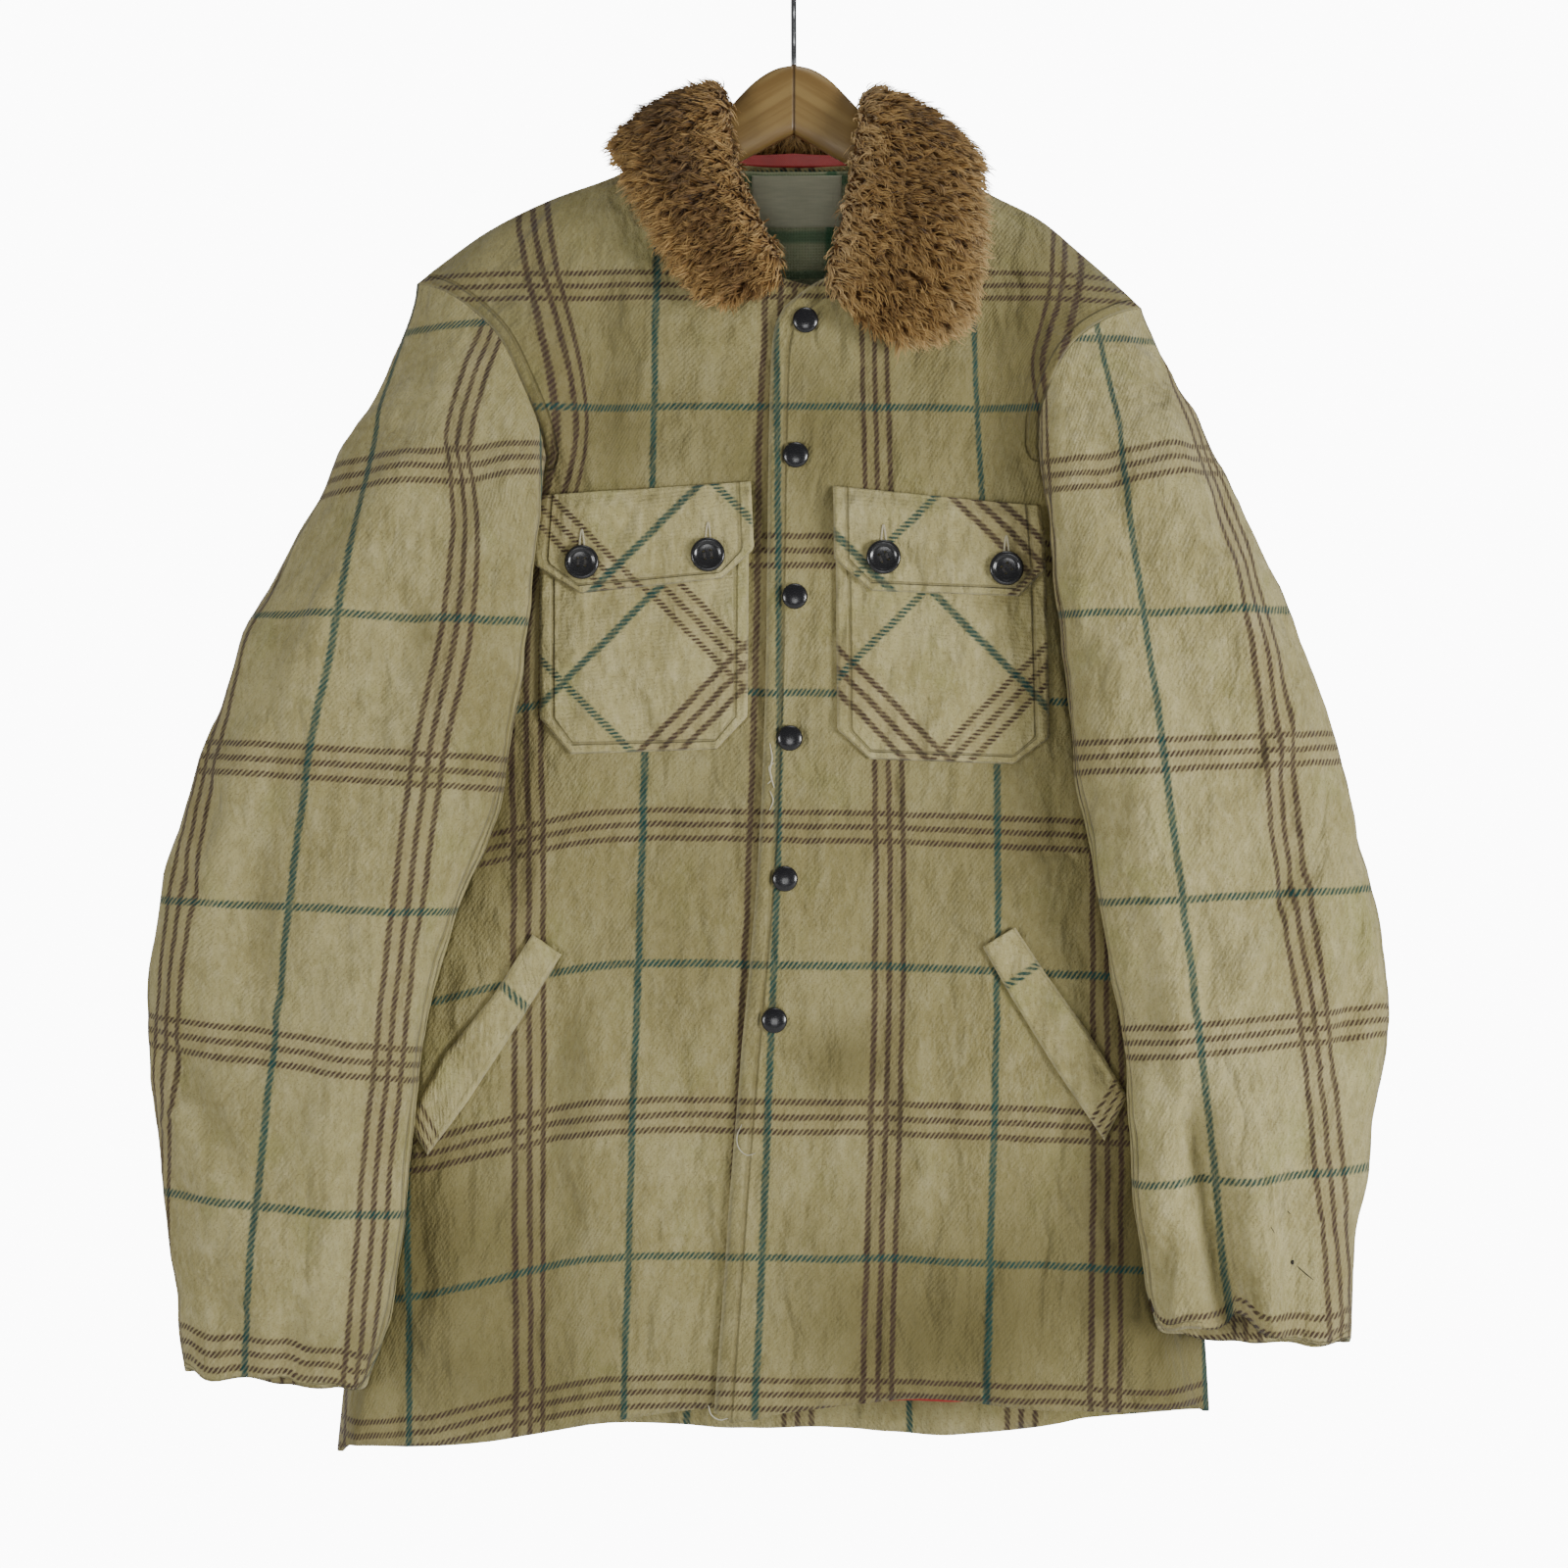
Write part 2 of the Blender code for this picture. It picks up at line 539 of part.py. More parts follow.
def back():
    right = side_line("back_right") + armhole_line("back_right")[1:]
    left = side_line("back_left") + armhole_line("back_left")[1:]
    last = len(right) - 1
    half = NECK_COLUMNS // 2
    points = []
    normals = []
    for j in range(last + 1):
        up = max(0.0, (j - LOW_ROWS) / (last - LOW_ROWS))
        neck = NECK_HALF * (0.55 + 0.45 * up)
        xs = [right[j][0] + (-neck - right[j][0]) * i / PANEL_COLUMNS for i in range(PANEL_COLUMNS)]
        xs += [neck * (i - half) / half for i in range(NECK_COLUMNS)]
        xs += [neck + (left[j][0] - neck) * i / PANEL_COLUMNS for i in range(PANEL_COLUMNS + 1)]
        line = []
        directions = []
        for i, x in enumerate(xs):
            share = (x - right[j][0]) / (left[j][0] - right[j][0])
            z = right[j][1] + (left[j][1] - right[j][1]) * share
            inner = 0 < i < len(xs) - 1
            if j <= LOW_ROWS and inner:
                z += hem_shift("back", x, z, j)
            if j > LOW_ROWS and inner:
                line_z = right[last][1] + (left[last][1] - right[last][1]) * share
                z += (back_edge(x) - line_z) * up ** 1.2
            y = back_y(x, z)
            n = normal_of(back_y, x, z, 1)
            if not inner and j <= LOW_ROWS:
                y = SIDE_DEPTH + SEAM / 2
                n = Vector((math.copysign(1, x), 0, 0))
            if j == last and abs(x) >= NECK_HALF - 0.1 * MM:
                y = SEAM / 2
                n = ridge_normal(x)
            elif j == last:
                y = max(y, 4 * MM)
            line.append(Vector((x, y, z)))
            directions.append(n)
        points.append(line)
        normals.append(directions)
    return close_sheet("back", points, normals, WOOL, wool())


def sleeve_start(side):
    # the armhole as one loop: shoulder tip, front, inner fold, underarm, back
    panel = "front_" + side
    ring = []
    for x, z in reversed(armhole_line(panel)):
        ring.append((Vector((x, front_y(x, z, panel), z)), normal_of(
            lambda a, b: front_y(a, b, panel), x, z, -1)))
    for x, z in armhole_line("back_" + side)[1:-1]:
        ring.append((Vector((x, back_y(x, z), z)), normal_of(back_y, x, z, 1)))
    tip = ring[0][0]
    ring[0] = (Vector((tip.x, 0, tip.z)), ridge_normal(tip.x))
    under = ring[HIDDEN_ROWS + CAP_ROWS]
    ring[HIDDEN_ROWS + CAP_ROWS] = (Vector((under[0].x, SIDE_DEPTH, under[0].z)),
                                    Vector((math.copysign(1, tip.x), 0, -0.6)).normalized())
    return ring


def angles():
    # how far round the sleeve each point of the armhole loop belongs
    back_half = HIDDEN_ROWS + BACK_ROWS
    return ([math.pi * k / CAP_ROWS for k in range(CAP_ROWS)]
            + [math.pi * (1 + k / back_half) for k in range(back_half)])


def sleeve_section(side, at, angle):
    # a point of the sleeve's tube; at is counted in rows of its table
    table = dict(SLEEVE[side], row=[k + 1.0 for k in range(len(SLEEVE[side]["outer"]))])
    sign = -1 if side == "right" else 1
    get = lambda column: read(table, "row", column, at)
    outer = Vector((sign * get("outer"), get("outer_y"), get("outer_z")))
    inner = Vector((sign * get("inner"), get("inner_y"), get("inner_z")))
    centre = (outer + inner) / 2
    along = (outer - inner) / 2
    across = math.copysign(abs(math.sin(angle)) ** 0.85, math.sin(angle))
    if across >= 0:
        return centre + along * math.cos(angle) + Vector((0, -get("half"), 0)) * across
    lower = Vector((sign * get("out"), get("half"), -get("drop")))
    return centre + along * math.cos(angle) + lower * -across


def sleeve_fold(side, around, down):
    total = 0.0
    for a0, d0, a1, d1, width, height in SLEEVE_FOLDS[side]:
        along = (down - d0) / (d1 - d0)
        middle = a0 + (a1 - a0) * along
        ends = smooth(-0.1, 0.3, along) * (1 - smooth(0.75, 1.1, along) * (d1 < 0.99))
        total += height * MM * ends * math.exp(-((around - middle) / width) ** 2)
    return total


def sleeve_grid(side):
    ring = sleeve_start(side)
    turns = angles()
    last = len(SLEEVE[side]["outer"])
    rows = []
    for j in range(SLEEVE_ROWS + 1):
        at = last * j / SLEEVE_ROWS
        if j == 0:
            rows.append([p.copy() for p, n in ring])
            continue
        blend = 1 - smooth(0, 1.2, at)
        rows.append([sleeve_section(side, max(at, 0.35), a).lerp(p, blend) for (p, n), a in zip(ring, turns)])
    count = len(turns)
    normals = []
    for j, row in enumerate(rows):
        above = rows[max(j - 1, 0)]
        below = rows[min(j + 1, SLEEVE_ROWS)]
        line = []
        for i in range(count):
            across = row[(i + 1) % count] - row[i - 1]
            line.append(across.cross(below[i] - above[i]).normalized())
        normals.append(line)
    middle = sum(rows[SLEEVE_ROWS // 2], Vector()) / count
    if normals[SLEEVE_ROWS // 2][0].dot(rows[SLEEVE_ROWS // 2][0] - middle) < 0:
        normals = [[-n for n in line] for line in normals]
    # at the armhole the wall follows the body, and near the inner fold it turns with the sleeve
    for i, (p, n) in enumerate(ring):
        turning = TURNING[i - CAP_ROWS] if 0 <= i - CAP_ROWS < len(TURNING) else 0.0
        normals[1][i] = (normals[1][i] + n * 0.5 * (1 - turning)).normalized()
        normals[0][i] = n.lerp(normals[0][i], turning).normalized()
    for j in range(1, SLEEVE_ROWS + 1):
        for i in range(count):
            rows[j][i] += normals[j][i] * sleeve_fold(side, turns[i] / (2 * math.pi), j / SLEEVE_ROWS)
    # the seam gap: across the edge where it shows, down the sleeve where it is hidden
    edge = [p.copy() for p in rows[0]]
    middle = sum(edge, Vector()) / count
    for i in range(count):
        step = (rows[1][i] - edge[i]).normalized()
        across = (edge[(i + 1) % count] - edge[i - 1]).cross(normals[0][i]).normalized()
        if across.dot(middle - edge[i]) < 0:
            across = -across
        if 0 < i < CAP_ROWS:
            step = across
        elif i == CAP_ROWS:
            step = (across + step).normalized()
        near_fold = max(0.0, 1 - abs(i - CAP_ROWS) / 3)
        rows[0][i] += step * SEAM * (1 + near_fold)
    return rows, normals


def sleeve(side):
    rows, normals = sleeve_grid(side)
    halves = {"top": list(range(CAP_ROWS + 1)),
              "under": list(range(CAP_ROWS, len(rows[0]))) + [0]}
    made = []
    for half, order in halves.items():
        points = []
        directions = []
        for j, (row, line) in enumerate(zip(rows, normals)):
            part = [row[i].copy() for i in order]
            half_gap = SEAM * (1.2 if j < 2 else 0.5)
            towards = (part[1] - part[0]).normalized()
            part[0] += towards * half_gap
            towards = (part[-2] - part[-1]).normalized()
            part[-1] += towards * half_gap
            points.append(part)
            directions.append([line[i] for i in order])
        made.append(close_sheet("sleeve_%s_%s" % (side, half), points, directions, WOOL, wool()))
    return made


def collar():
    # rounded sections swept round the neck, thick with pile
    count = len(COLLAR["in_x"])
    table = dict(COLLAR, row=[float(k) for k in range(count)])
    mesh = bmesh.new()
    rings = []
    for k in range(COLLAR_STATIONS + 1):
        at = (count - 1) * k / COLLAR_STATIONS
        get = lambda column: read(table, "row", column, at)
        inner = Vector((get("in_x"), get("in_y"), get("in_z")))
        outer = Vector((get("out_x"), get("out_y"), get("out_z")))
        centre = (inner + outer) / 2
        along = (outer - inner) / 2
        ahead = Vector([read(table, "row", c, at + 0.2) - read(table, "row", c, at - 0.2)
                        for c in ("in_x", "in_y", "in_z")])
        ahead += Vector([read(table, "row", c, at + 0.2) - read(table, "row", c, at - 0.2)
                         for c in ("out_x", "out_y", "out_z")])
        away = ahead.cross(along).normalized()
        end = min(k, COLLAR_STATIONS - k)
        size = (0.45, 0.8, 0.95)[end] if end < 3 else 1.0
        ring = []
        for i in range(COLLAR_ROUND):
            angle = 2 * math.pi * i / COLLAR_ROUND
            c = math.copysign(abs(math.cos(angle)) ** 0.8, math.cos(angle))
            s = math.copysign(abs(math.sin(angle)) ** 0.8, math.sin(angle))
            arch = get("bulge") * (1 - c * c)
            ring.append(mesh.verts.new(centre + along * c + away * (s * PILE / 2 * size + arch)))
        rings.append(ring)
    for a, b in zip(rings, rings[1:]):
        for i in range(COLLAR_ROUND):
            k = (i + 1) % COLLAR_ROUND
            mesh.faces.new((a[i], a[k], b[k], b[i]))
    mesh.faces.new(rings[0])
    mesh.faces.new(rings[-1])
    bmesh.ops.triangulate(mesh, faces=mesh.faces[:])
    bmesh.ops.recalc_face_normals(mesh, faces=mesh.faces[:])
    data = bpy.data.meshes.new("collar")
    mesh.to_mesh(data)
    mesh.free()
    return add("collar", data, fur())


def outermost(tree, x, z, reach, sign):
    # the furthest point of a panel near x, z towards the viewer of that face
    found = []
    for dx, dz in ((0, 0), (reach, 0), (-reach, 0), (0, reach), (0, -reach)):
        hit = tree.ray_cast(Vector((x + dx, sign * 0.3, z + dz)), Vector((0, -sign, 0)))[0]
        if hit is not None:
            found.append(hit.y)
    return max(found) if sign > 0 else min(found)


def tree_of(piece):
    mesh = bmesh.new()
    mesh.from_mesh(piece.data)
    tree = BVHTree.FromBMesh(mesh)
    mesh.free()
    return tree


def patch(name, panel_tree, edges, counts, lift, thickness, finish, sign=-1, reach=PATCH_REACH):
    # a piece laid on a panel: rows between two edges, made from the panel's face, moved out
    left, right = edges
    rows, across = counts
    left = walk([(x * MM, z * MM) for x, z in left], rows)
    right = walk([(x * MM, z * MM) for x, z in right], rows)
    points = []
    normals = []
    for j in range(rows + 1):
        line = []
        for i in range(across + 1):
            x = left[j][0] + (right[j][0] - left[j][0]) * i / across
            z = left[j][1] + (right[j][1] - left[j][1]) * i / across
            stand = lift(j / rows) + thickness
            line.append(Vector((x, outermost(panel_tree, x, z, reach, sign) + sign * stand, z)))
        points.append(line)
        normals.append([Vector((0, sign, 0))] * (across + 1))
    return close_sheet(name, points, normals, thickness, finish)


def edge_through(corners, rows):
    # splits an outline edge so that its corners fall on rows
    lengths = [math.dist(a, b) for a, b in zip(corners, corners[1:])]
    counts = [max(1, round(rows * length / sum(lengths))) for length in lengths]
    counts[0] += rows - sum(counts)
    out = [corners[0]]
    for a, b, n in zip(corners, corners[1:], counts):
        out += [(a[0] + (b[0] - a[0]) * k / n, a[1] + (b[1] - a[1]) * k / n) for k in range(1, n + 1)]
    return out


def turned(name, profile, centre, axis, finish, steps=16):
    # a profile of (radius, height) from the rim's foot to the middle of the top, turned round Z
    mesh = bmesh.new()
    verts = [mesh.verts.new((r, 0, h)) for r, h in profile]
    for a, b in zip(verts, verts[1:]):
        mesh.edges.new((a, b))
    bmesh.ops.spin(mesh, geom=mesh.verts[:] + mesh.edges[:], cent=(0, 0, 0), axis=(0, 0, 1),
                   angle=2 * math.pi, steps=steps, use_merge=True, use_duplicate=False)
    bmesh.ops.remove_doubles(mesh, verts=mesh.verts[:], dist=0.01 * MM)
    bmesh.ops.recalc_face_normals(mesh, faces=mesh.faces[:])
    turn_to = Vector((0, 0, 1)).rotation_difference(Vector(axis))
    for v in mesh.verts:
        v.co = turn_to @ v.co + centre
    data = bpy.data.meshes.new(name)
    mesh.to_mesh(data)
    mesh.free()
    piece = add(name, data, finish)
    piece.data.shade_smooth()
    return piece


def snap_profile(radius):
    height = 3.6 * MM
    return [(0, 0), (radius * 0.8, 0), (radius, 1.0 * MM), (radius * 0.93, 2.2 * MM),
            (radius * 0.62, height * 0.88), (0, height)]


def button_profile(radius):
    # a raised rim round a shallow dish
    return [(0, 0), (radius * 0.8, 0), (radius, 1.4 * MM), (radius * 0.92, 3.2 * MM),
            (radius * 0.74, 3.4 * MM), (radius * 0.62, 2.5 * MM), (0, 2.1 * MM)]


def hanger_half(side):
    table = HANGER[side]
    sign = -1 if side == "right" else 1
    mesh = bmesh.new()
    rings = []
    sides = 16
    last = len(table["out"]) - 1
    for k in range(last + 1):
        top = table["top"][k]
        bottom = table["bottom"][k]
        boxy = 0.42 + 0.5 * min(1.0, k / 5)
        ring = []
        for i in range(sides):
            angle = 2 * math.pi * (i + 0.5) / sides
            c = math.copysign(abs(math.cos(angle)) ** boxy, math.cos(angle))
            s = math.copysign(abs(math.sin(angle)) ** boxy, math.sin(angle))
            ring.append(mesh.verts.new((sign * table["out"][k], table["y"][k] + table["half"][k] * c,
                                        (top + bottom) / 2 + (top - bottom) / 2 * s)))
        rings.append(ring)
    for a, b in zip(rings, rings[1:]):
        for i in range(sides):
            k = (i + 1) % sides
            mesh.faces.new((a[i], a[k], b[k], b[i]))
    mesh.faces.new(rings[0])
    mesh.faces.new(rings[-1])
    bmesh.ops.triangulate(mesh, faces=mesh.faces[:])
    bmesh.ops.recalc_face_normals(mesh, faces=mesh.faces[:])
    data = bpy.data.meshes.new("hanger_" + side)
    mesh.to_mesh(data)
    mesh.free()
    return add("hanger_" + side, data, wood())


def hook():
    # a wire that rises from the wood and turns over the rail, in the plane x = 0
    radius = HOOK_INSIDE + HOOK_WIRE / 2
    centre_z = -HOOK_INSIDE
    depth = HANGER["right"]["y"][0]
    foot = HANGER["right"]["top"][0] + SEAM
    points = [(depth, foot), (depth, foot + 6 * MM), (depth * 0.8 + 1 * MM, foot + 14 * MM)]
    start = math.radians(-62)
    end = math.radians(208)
    steps = 22
    for k in range(steps + 1):
        angle = start + (end - start) * k / steps
        points.append((radius * math.cos(angle), centre_z + radius * math.sin(angle)))
    curve = bpy.data.curves.new("hook", "CURVE")
    curve.dimensions = "3D"
    curve.bevel_depth = HOOK_WIRE / 2
    curve.bevel_resolution = 2
    curve.use_fill_caps = True
    spline = curve.splines.new("POLY")
    spline.points.add(len(points) - 1)
    for point, (y, z) in zip(spline.points, points):
        point.co = (0, y, z, 1)
    return add("hook", curve, wire())


def build():
    back_panel = back()
    fronts = {"right": front("front_right"), "left": front("front_left")}
    sleeves = {side: sleeve(side) for side in ("right", "left")}
    collar()
    trees = {side: tree_of(piece) for side, piece in fronts.items()}
    lying = lambda w: LIFT
    over_pocket = lambda w: LIFT + (WOOL + 1.3 * MM) * smooth(0.0, 0.16, w)
    flap_trees = {}
    for side, outlines in POCKETS.items():
        left, right = outlines["pocket"]
        patch("pocket_" + side, trees[side], (edge_through(left, 8), edge_through(right, 8)), (8, 7),
              lying, WOOL * 0.9, wool())
        left, right = outlines["flap"]
        flap = patch("flap_" + side, trees[side], (edge_through(left, 6), edge_through(right, 6)), (6, 7),
                     over_pocket, WOOL, wool())
        flap_trees[side] = tree_of(flap)
        left, right = WELTS[side]
        patch("welt_" + side, trees[side], (left, right), (9, 3), lying, WOOL, wool(), reach=4 * MM)
    for i, (x, z) in enumerate(FLAP_BUTTONS):
        y = outermost(flap_trees[side_of(x)], x * MM, z * MM, BUTTON_RADIUS * 0.8, -1) - SEAM
        turned("flap_button_%d" % (i + 1), button_profile(BUTTON_RADIUS), Vector((x * MM, y, z * MM)),
               (0, -1, 0), button())
    for i, (x, z) in enumerate(SNAPS):
        y = outermost(trees["left"], x * MM, z * MM, SNAP_RADIUS * 0.8, -1) - SEAM
        turned("snap_%d" % (i + 1), snap_profile(SNAP_RADIUS), Vector((x * MM, y, z * MM)),
               (0, -1, 0), button())
    for n, side in enumerate(("right", "left")):
        sign = -1 if side == "right" else 1
        rows = [row[0] for row in sleeve_grid(side)[0]]
        for m, z in enumerate(CUFF_BUTTONS[side]):
            j = max(k for k in range(len(rows) - 1) if rows[k].z >= z * MM)
            share = (z * MM - rows[j].z) / (rows[j + 1].z - rows[j].z)
            spot = rows[j].lerp(rows[j + 1], share)
            run = rows[j + 1] - rows[j]
            away = Vector((sign * -run.z, 0, sign * run.x)).normalized() * (1 if run.z < 0 else -1)
            turned("cuff_button_%d" % (2 * n + m + 1), button_profile(CUFF_BUTTON_RADIUS),
                   spot + away * SEAM, away, button())
    linings(tree_of(back_panel))
    for side in ("right", "left"):
        hanger_half(side)
    hook()


def inner_patch(name, tree, xs, zs, counts, stand, thickness, finish):
    # a piece lying against the inside of the back
    across, down = counts
    points = []
    normals = []
    for j in range(down + 1):
        z = zs[0] + (zs[1] - zs[0]) * j / down
        line = []
        for i in range(across + 1):
            x = xs[0] + (xs[1] - xs[0]) * i / across
            hit = tree.ray_cast(Vector((x, 0.004, z)), Vector((0, 1, 0)))[0]
            line.append(Vector((x, hit.y - stand, z)))
        points.append(line)
        normals.append([Vector((0, 1, 0))] * (across + 1))
    return close_sheet(name, points, normals, thickness, finish)


def neck_band():
    # the red strip that stands on the back neckline, under the collar
    across = 8
    points = []
    normals = []
    for z_up, depth in ((LIFT, 19.0), (8 * MM, 22.0), (15 * MM, 23.5)):
        xs = [BAND_HALF * (2 * i / across - 1) for i in range(across + 1)]
        points.append([Vector((x, (depth - 3 * (x / BAND_HALF) ** 2) * MM, back_edge(x) + z_up)) for x in xs])
        normals.append([Vector((0, 1, 0))] * (across + 1))
    return close_sheet("neck_lining", points, normals, FACING, lining())


def linings(tree):
    neck_band()
    inner_patch("neck_facing", tree, (-FACING_HALF, FACING_HALF), FACING_Z, (8, 5), LIFT + 0.2 * MM,
                FACING, facing())
    inner_patch("neck_label", tree, *LABEL, (4, 2), LIFT + FACING + 0.8 * MM, FACING * 0.6, label())
    inner_patch("hem_lining", tree, (20 * MM, 150 * MM), (-820 * MM, -898 * MM), (8, 4), LIFT + 0.3 * MM,
                FACING, lining())


build()
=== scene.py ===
# Plaid wool jacket with a fur collar, on a wooden hanger.
# Metres, +Z up, the front faces -Y, the wearer's right is at -X.
import math
import bpy
import bmesh
import numpy as np
from mathutils import Matrix, Vector, kdtree, noise
from mathutils.bvhtree import BVHTree


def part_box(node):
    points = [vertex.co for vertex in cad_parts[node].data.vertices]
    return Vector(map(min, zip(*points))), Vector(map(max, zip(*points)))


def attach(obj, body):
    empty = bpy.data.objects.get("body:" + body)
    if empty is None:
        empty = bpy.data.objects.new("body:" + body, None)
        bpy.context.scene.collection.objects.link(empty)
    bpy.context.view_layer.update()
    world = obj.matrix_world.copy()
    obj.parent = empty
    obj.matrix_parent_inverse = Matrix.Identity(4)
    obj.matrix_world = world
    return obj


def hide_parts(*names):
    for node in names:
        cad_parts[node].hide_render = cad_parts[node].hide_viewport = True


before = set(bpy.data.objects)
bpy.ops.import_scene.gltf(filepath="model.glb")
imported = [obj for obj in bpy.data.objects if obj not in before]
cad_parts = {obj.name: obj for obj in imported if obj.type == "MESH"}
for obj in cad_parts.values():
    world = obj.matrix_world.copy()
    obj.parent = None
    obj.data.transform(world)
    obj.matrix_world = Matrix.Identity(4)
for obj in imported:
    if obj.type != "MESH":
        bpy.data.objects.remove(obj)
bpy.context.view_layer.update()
mm = 0.001

studio = {
    "cameraSpot": (-0.006, -2.02, -0.511),
    "viewAngle": 27.0,
    "worldColour": (1.0, 1.0, 1.0), "worldStrength": 0.16, "backgroundStrength": 14.0,
    "lights": [("keyLight", (2.2, -1.55, -0.6), 0.8, 60.0), ("fillLight", (-2.1, -1.6, -0.7), 0.8, 25.0),
               ("frontLight", (0.0, -2.9, -1.0), 0.8, 10.0), ("topLight", (0.3, -0.3, 1.4), 0.9, 9.0),
               ("backLight", (-1.3, 2.3, -0.2), 1.2, 60.0)],
    "aim": (-0.01, 0.0, -0.48),
    "floorHeight": -1.36, "floorSize": 1.5, "floorColour": (0.82, 0.82, 0.81), "floorShade": (0.78, 0.78, 0.77),
}


def makeStudio():
    scene = bpy.context.scene
    camera = bpy.data.objects.new("camera", bpy.data.cameras.new("camera"))
    camera.data.angle = math.radians(studio["viewAngle"])
    camera.location = studio["cameraSpot"]
    camera.rotation_euler = (math.radians(90), 0, 0)
    scene.collection.objects.link(camera)
    scene.camera = camera
    world = bpy.data.worlds.new("studioWorld")
    world.use_nodes = True
    tree = world.node_tree
    sky = tree.nodes["Background"]
    sky.inputs["Color"].default_value = (*studio["worldColour"], 1)
    sky.inputs["Strength"].default_value = studio["worldStrength"]
    # the backdrop is seen brighter than it lights
    backdrop = tree.nodes.new("ShaderNodeBackground")
    backdrop.inputs["Strength"].default_value = studio["backgroundStrength"]
    seen = tree.nodes.new("ShaderNodeLightPath")
    both = tree.nodes.new("ShaderNodeMixShader")
    tree.links.new(seen.outputs["Is Camera Ray"], both.inputs[0])
    tree.links.new(sky.outputs[0], both.inputs[1])
    tree.links.new(backdrop.outputs[0], both.inputs[2])
    tree.links.new(both.outputs[0], tree.nodes["World Output"].inputs[0])
    scene.world = world
    for name, spot, size, power in studio["lights"]:
        lamp = bpy.data.lights.new(name, "AREA")
        lamp.size = size
        lamp.energy = power
        light = bpy.data.objects.new(name, lamp)
        light.location = spot
        towards = Vector(studio["aim"]) - Vector(spot)
        light.rotation_euler = towards.to_track_quat("-Z", "Y").to_euler()
        scene.collection.objects.link(light)


# Shader maths: a socket that can be added, multiplied and compared

class Term:
    def __init__(self, look, socket):
        self.look = look
        self.socket = socket

    def math(self, operation, *others):
        return self.look.node("ShaderNodeMath", {"operation": operation}, (self, *others))

    def __add__(self, other):
        return self.math("ADD", other)

    def __sub__(self, other):
        return self.math("SUBTRACT", other)

    def __rsub__(self, other):
        return self.look.node("ShaderNodeMath", {"operation": "SUBTRACT"}, (other, self))

    def __mul__(self, other):
        return self.math("MULTIPLY", other)

    def __truediv__(self, other):
        return self.math("DIVIDE", other)

    __radd__ = __add__
    __rmul__ = __mul__


class Look:
    # a material with one Principled shader, and a short way to add nodes to it
    def __init__(self, name, roughness, **settings):
        self.material = bpy.data.materials.new(name)
        self.material.use_nodes = True
        self.tree = self.material.node_tree
        self.shader = self.tree.nodes["Principled BSDF"]
        self.shader.inputs["Roughness"].default_value = roughness
        for socket, value in settings.items():
            self.shader.inputs[socket.replace("_", " ")].default_value = value

    def fill(self, target, value):
        if isinstance(value, Term):
            self.tree.links.new(value.socket, target)
        elif isinstance(value, tuple) and len(value) == 3 and target.type == "RGBA":
            target.default_value = (*value, 1)
        else:
            target.default_value = value

    def node(self, kind, settings=None, values=(), output=0):
        added = self.tree.nodes.new(kind)
        for key, value in (settings or {}).items():
            if key == "stops":
                stops = added.color_ramp.elements
                while len(stops) < len(value):
                    stops.new(0.5)
                for stop, (spot, colour) in zip(stops, value):
                    stop.position = spot
                    stop.color = (*colour, 1)
            else:
                setattr(added, key, value)
        pairs = values.items() if isinstance(values, dict) else enumerate(values)
        for key, value in pairs:
            self.fill(added.inputs[key], value)
        return Term(self, added.outputs[output])

    def noise(self, vector, scale, detail=2.0, roughness=0.5):
        return self.node("ShaderNodeTexNoise", {}, {"Vector": vector, "Scale": scale, "Detail": detail,
                                                    "Roughness": roughness})

    def between(self, value, low, high, outLow=0.0, outHigh=1.0):
        return self.node("ShaderNodeMapRange", {"interpolation_type": "SMOOTHSTEP"},
                         (value, low, high, outLow, outHigh))

    def mix(self, factor, first, second, blend="MIX"):
        return self.node("ShaderNodeMix", {"data_type": "RGBA", "blend_type": blend},
                         {0: factor, 6: first, 7: second}, output=2)

    def stretched(self, vector, scale):
        return self.node("ShaderNodeMapping", {}, {"Vector": vector, "Scale": scale})

    def place(self):
        return self.node("ShaderNodeTexCoord", output=3)

    def attribute(self, name):
        return self.node("ShaderNodeAttribute", {"attribute_name": name}, output=2)

    def split(self, vector):
        parts = self.tree.nodes.new("ShaderNodeSeparateXYZ")
        self.fill(parts.inputs[0], vector)
        return [Term(self, socket) for socket in parts.outputs]

    def bump(self, height, strength, distance):
        return self.node("ShaderNodeBump", {}, {"Strength": strength, "Distance": distance, "Height": height})

    def paint(self, **sockets):
        for socket, value in sockets.items():
            self.fill(self.shader.inputs[socket.replace("_", " ")], value)
        return self.material


plaid = {
    "acrossRepeat": 0.140, "downRepeat": 0.172,      # from one teal line to the next
    "tealWidth": 4.6 * mm, "brownWidth": 3.7 * mm, "brownApart": 8.8 * mm, "twillRepeat": 3.0 * mm,
    "teal": (0.000, 0.052, 0.050), "brown": (0.042, 0.018, 0.017), "band": (0.33, 0.255, 0.125),
    "light": (0.50, 0.44, 0.205), "dark": (0.375, 0.322, 0.135), "green": (0.30, 0.305, 0.090),
    # the dark colour for dirt and painted shade on the cloth
    "shade": (0.25, 0.215, 0.085), "soil": (0.135, 0.113, 0.038), "pale": (0.62, 0.56, 0.31),
    # the next colour: dark flecks between the fibres, and painted shade in the stitched groove
    "fleckAndGrooveShade": (0.16, 0.13, 0.05),                    # between the fibres and in the stitched groove
    "acrossGap": 0.28, "downGap": 0.72,              # how far the twill opens the lines that run each way
    "wander": 2.6 * mm, "flick": 0.8 * mm,           # how unsteadily the lines run
    "stitchLine": 8.0 * mm, "grooveDepth": 1.8, "rubHeight": 1.6, "creaseHeight": 12.0, "foldHeight": 2.0,
    "bumpStrength": 0.9, "bumpDistance": 1.1 * mm,
}


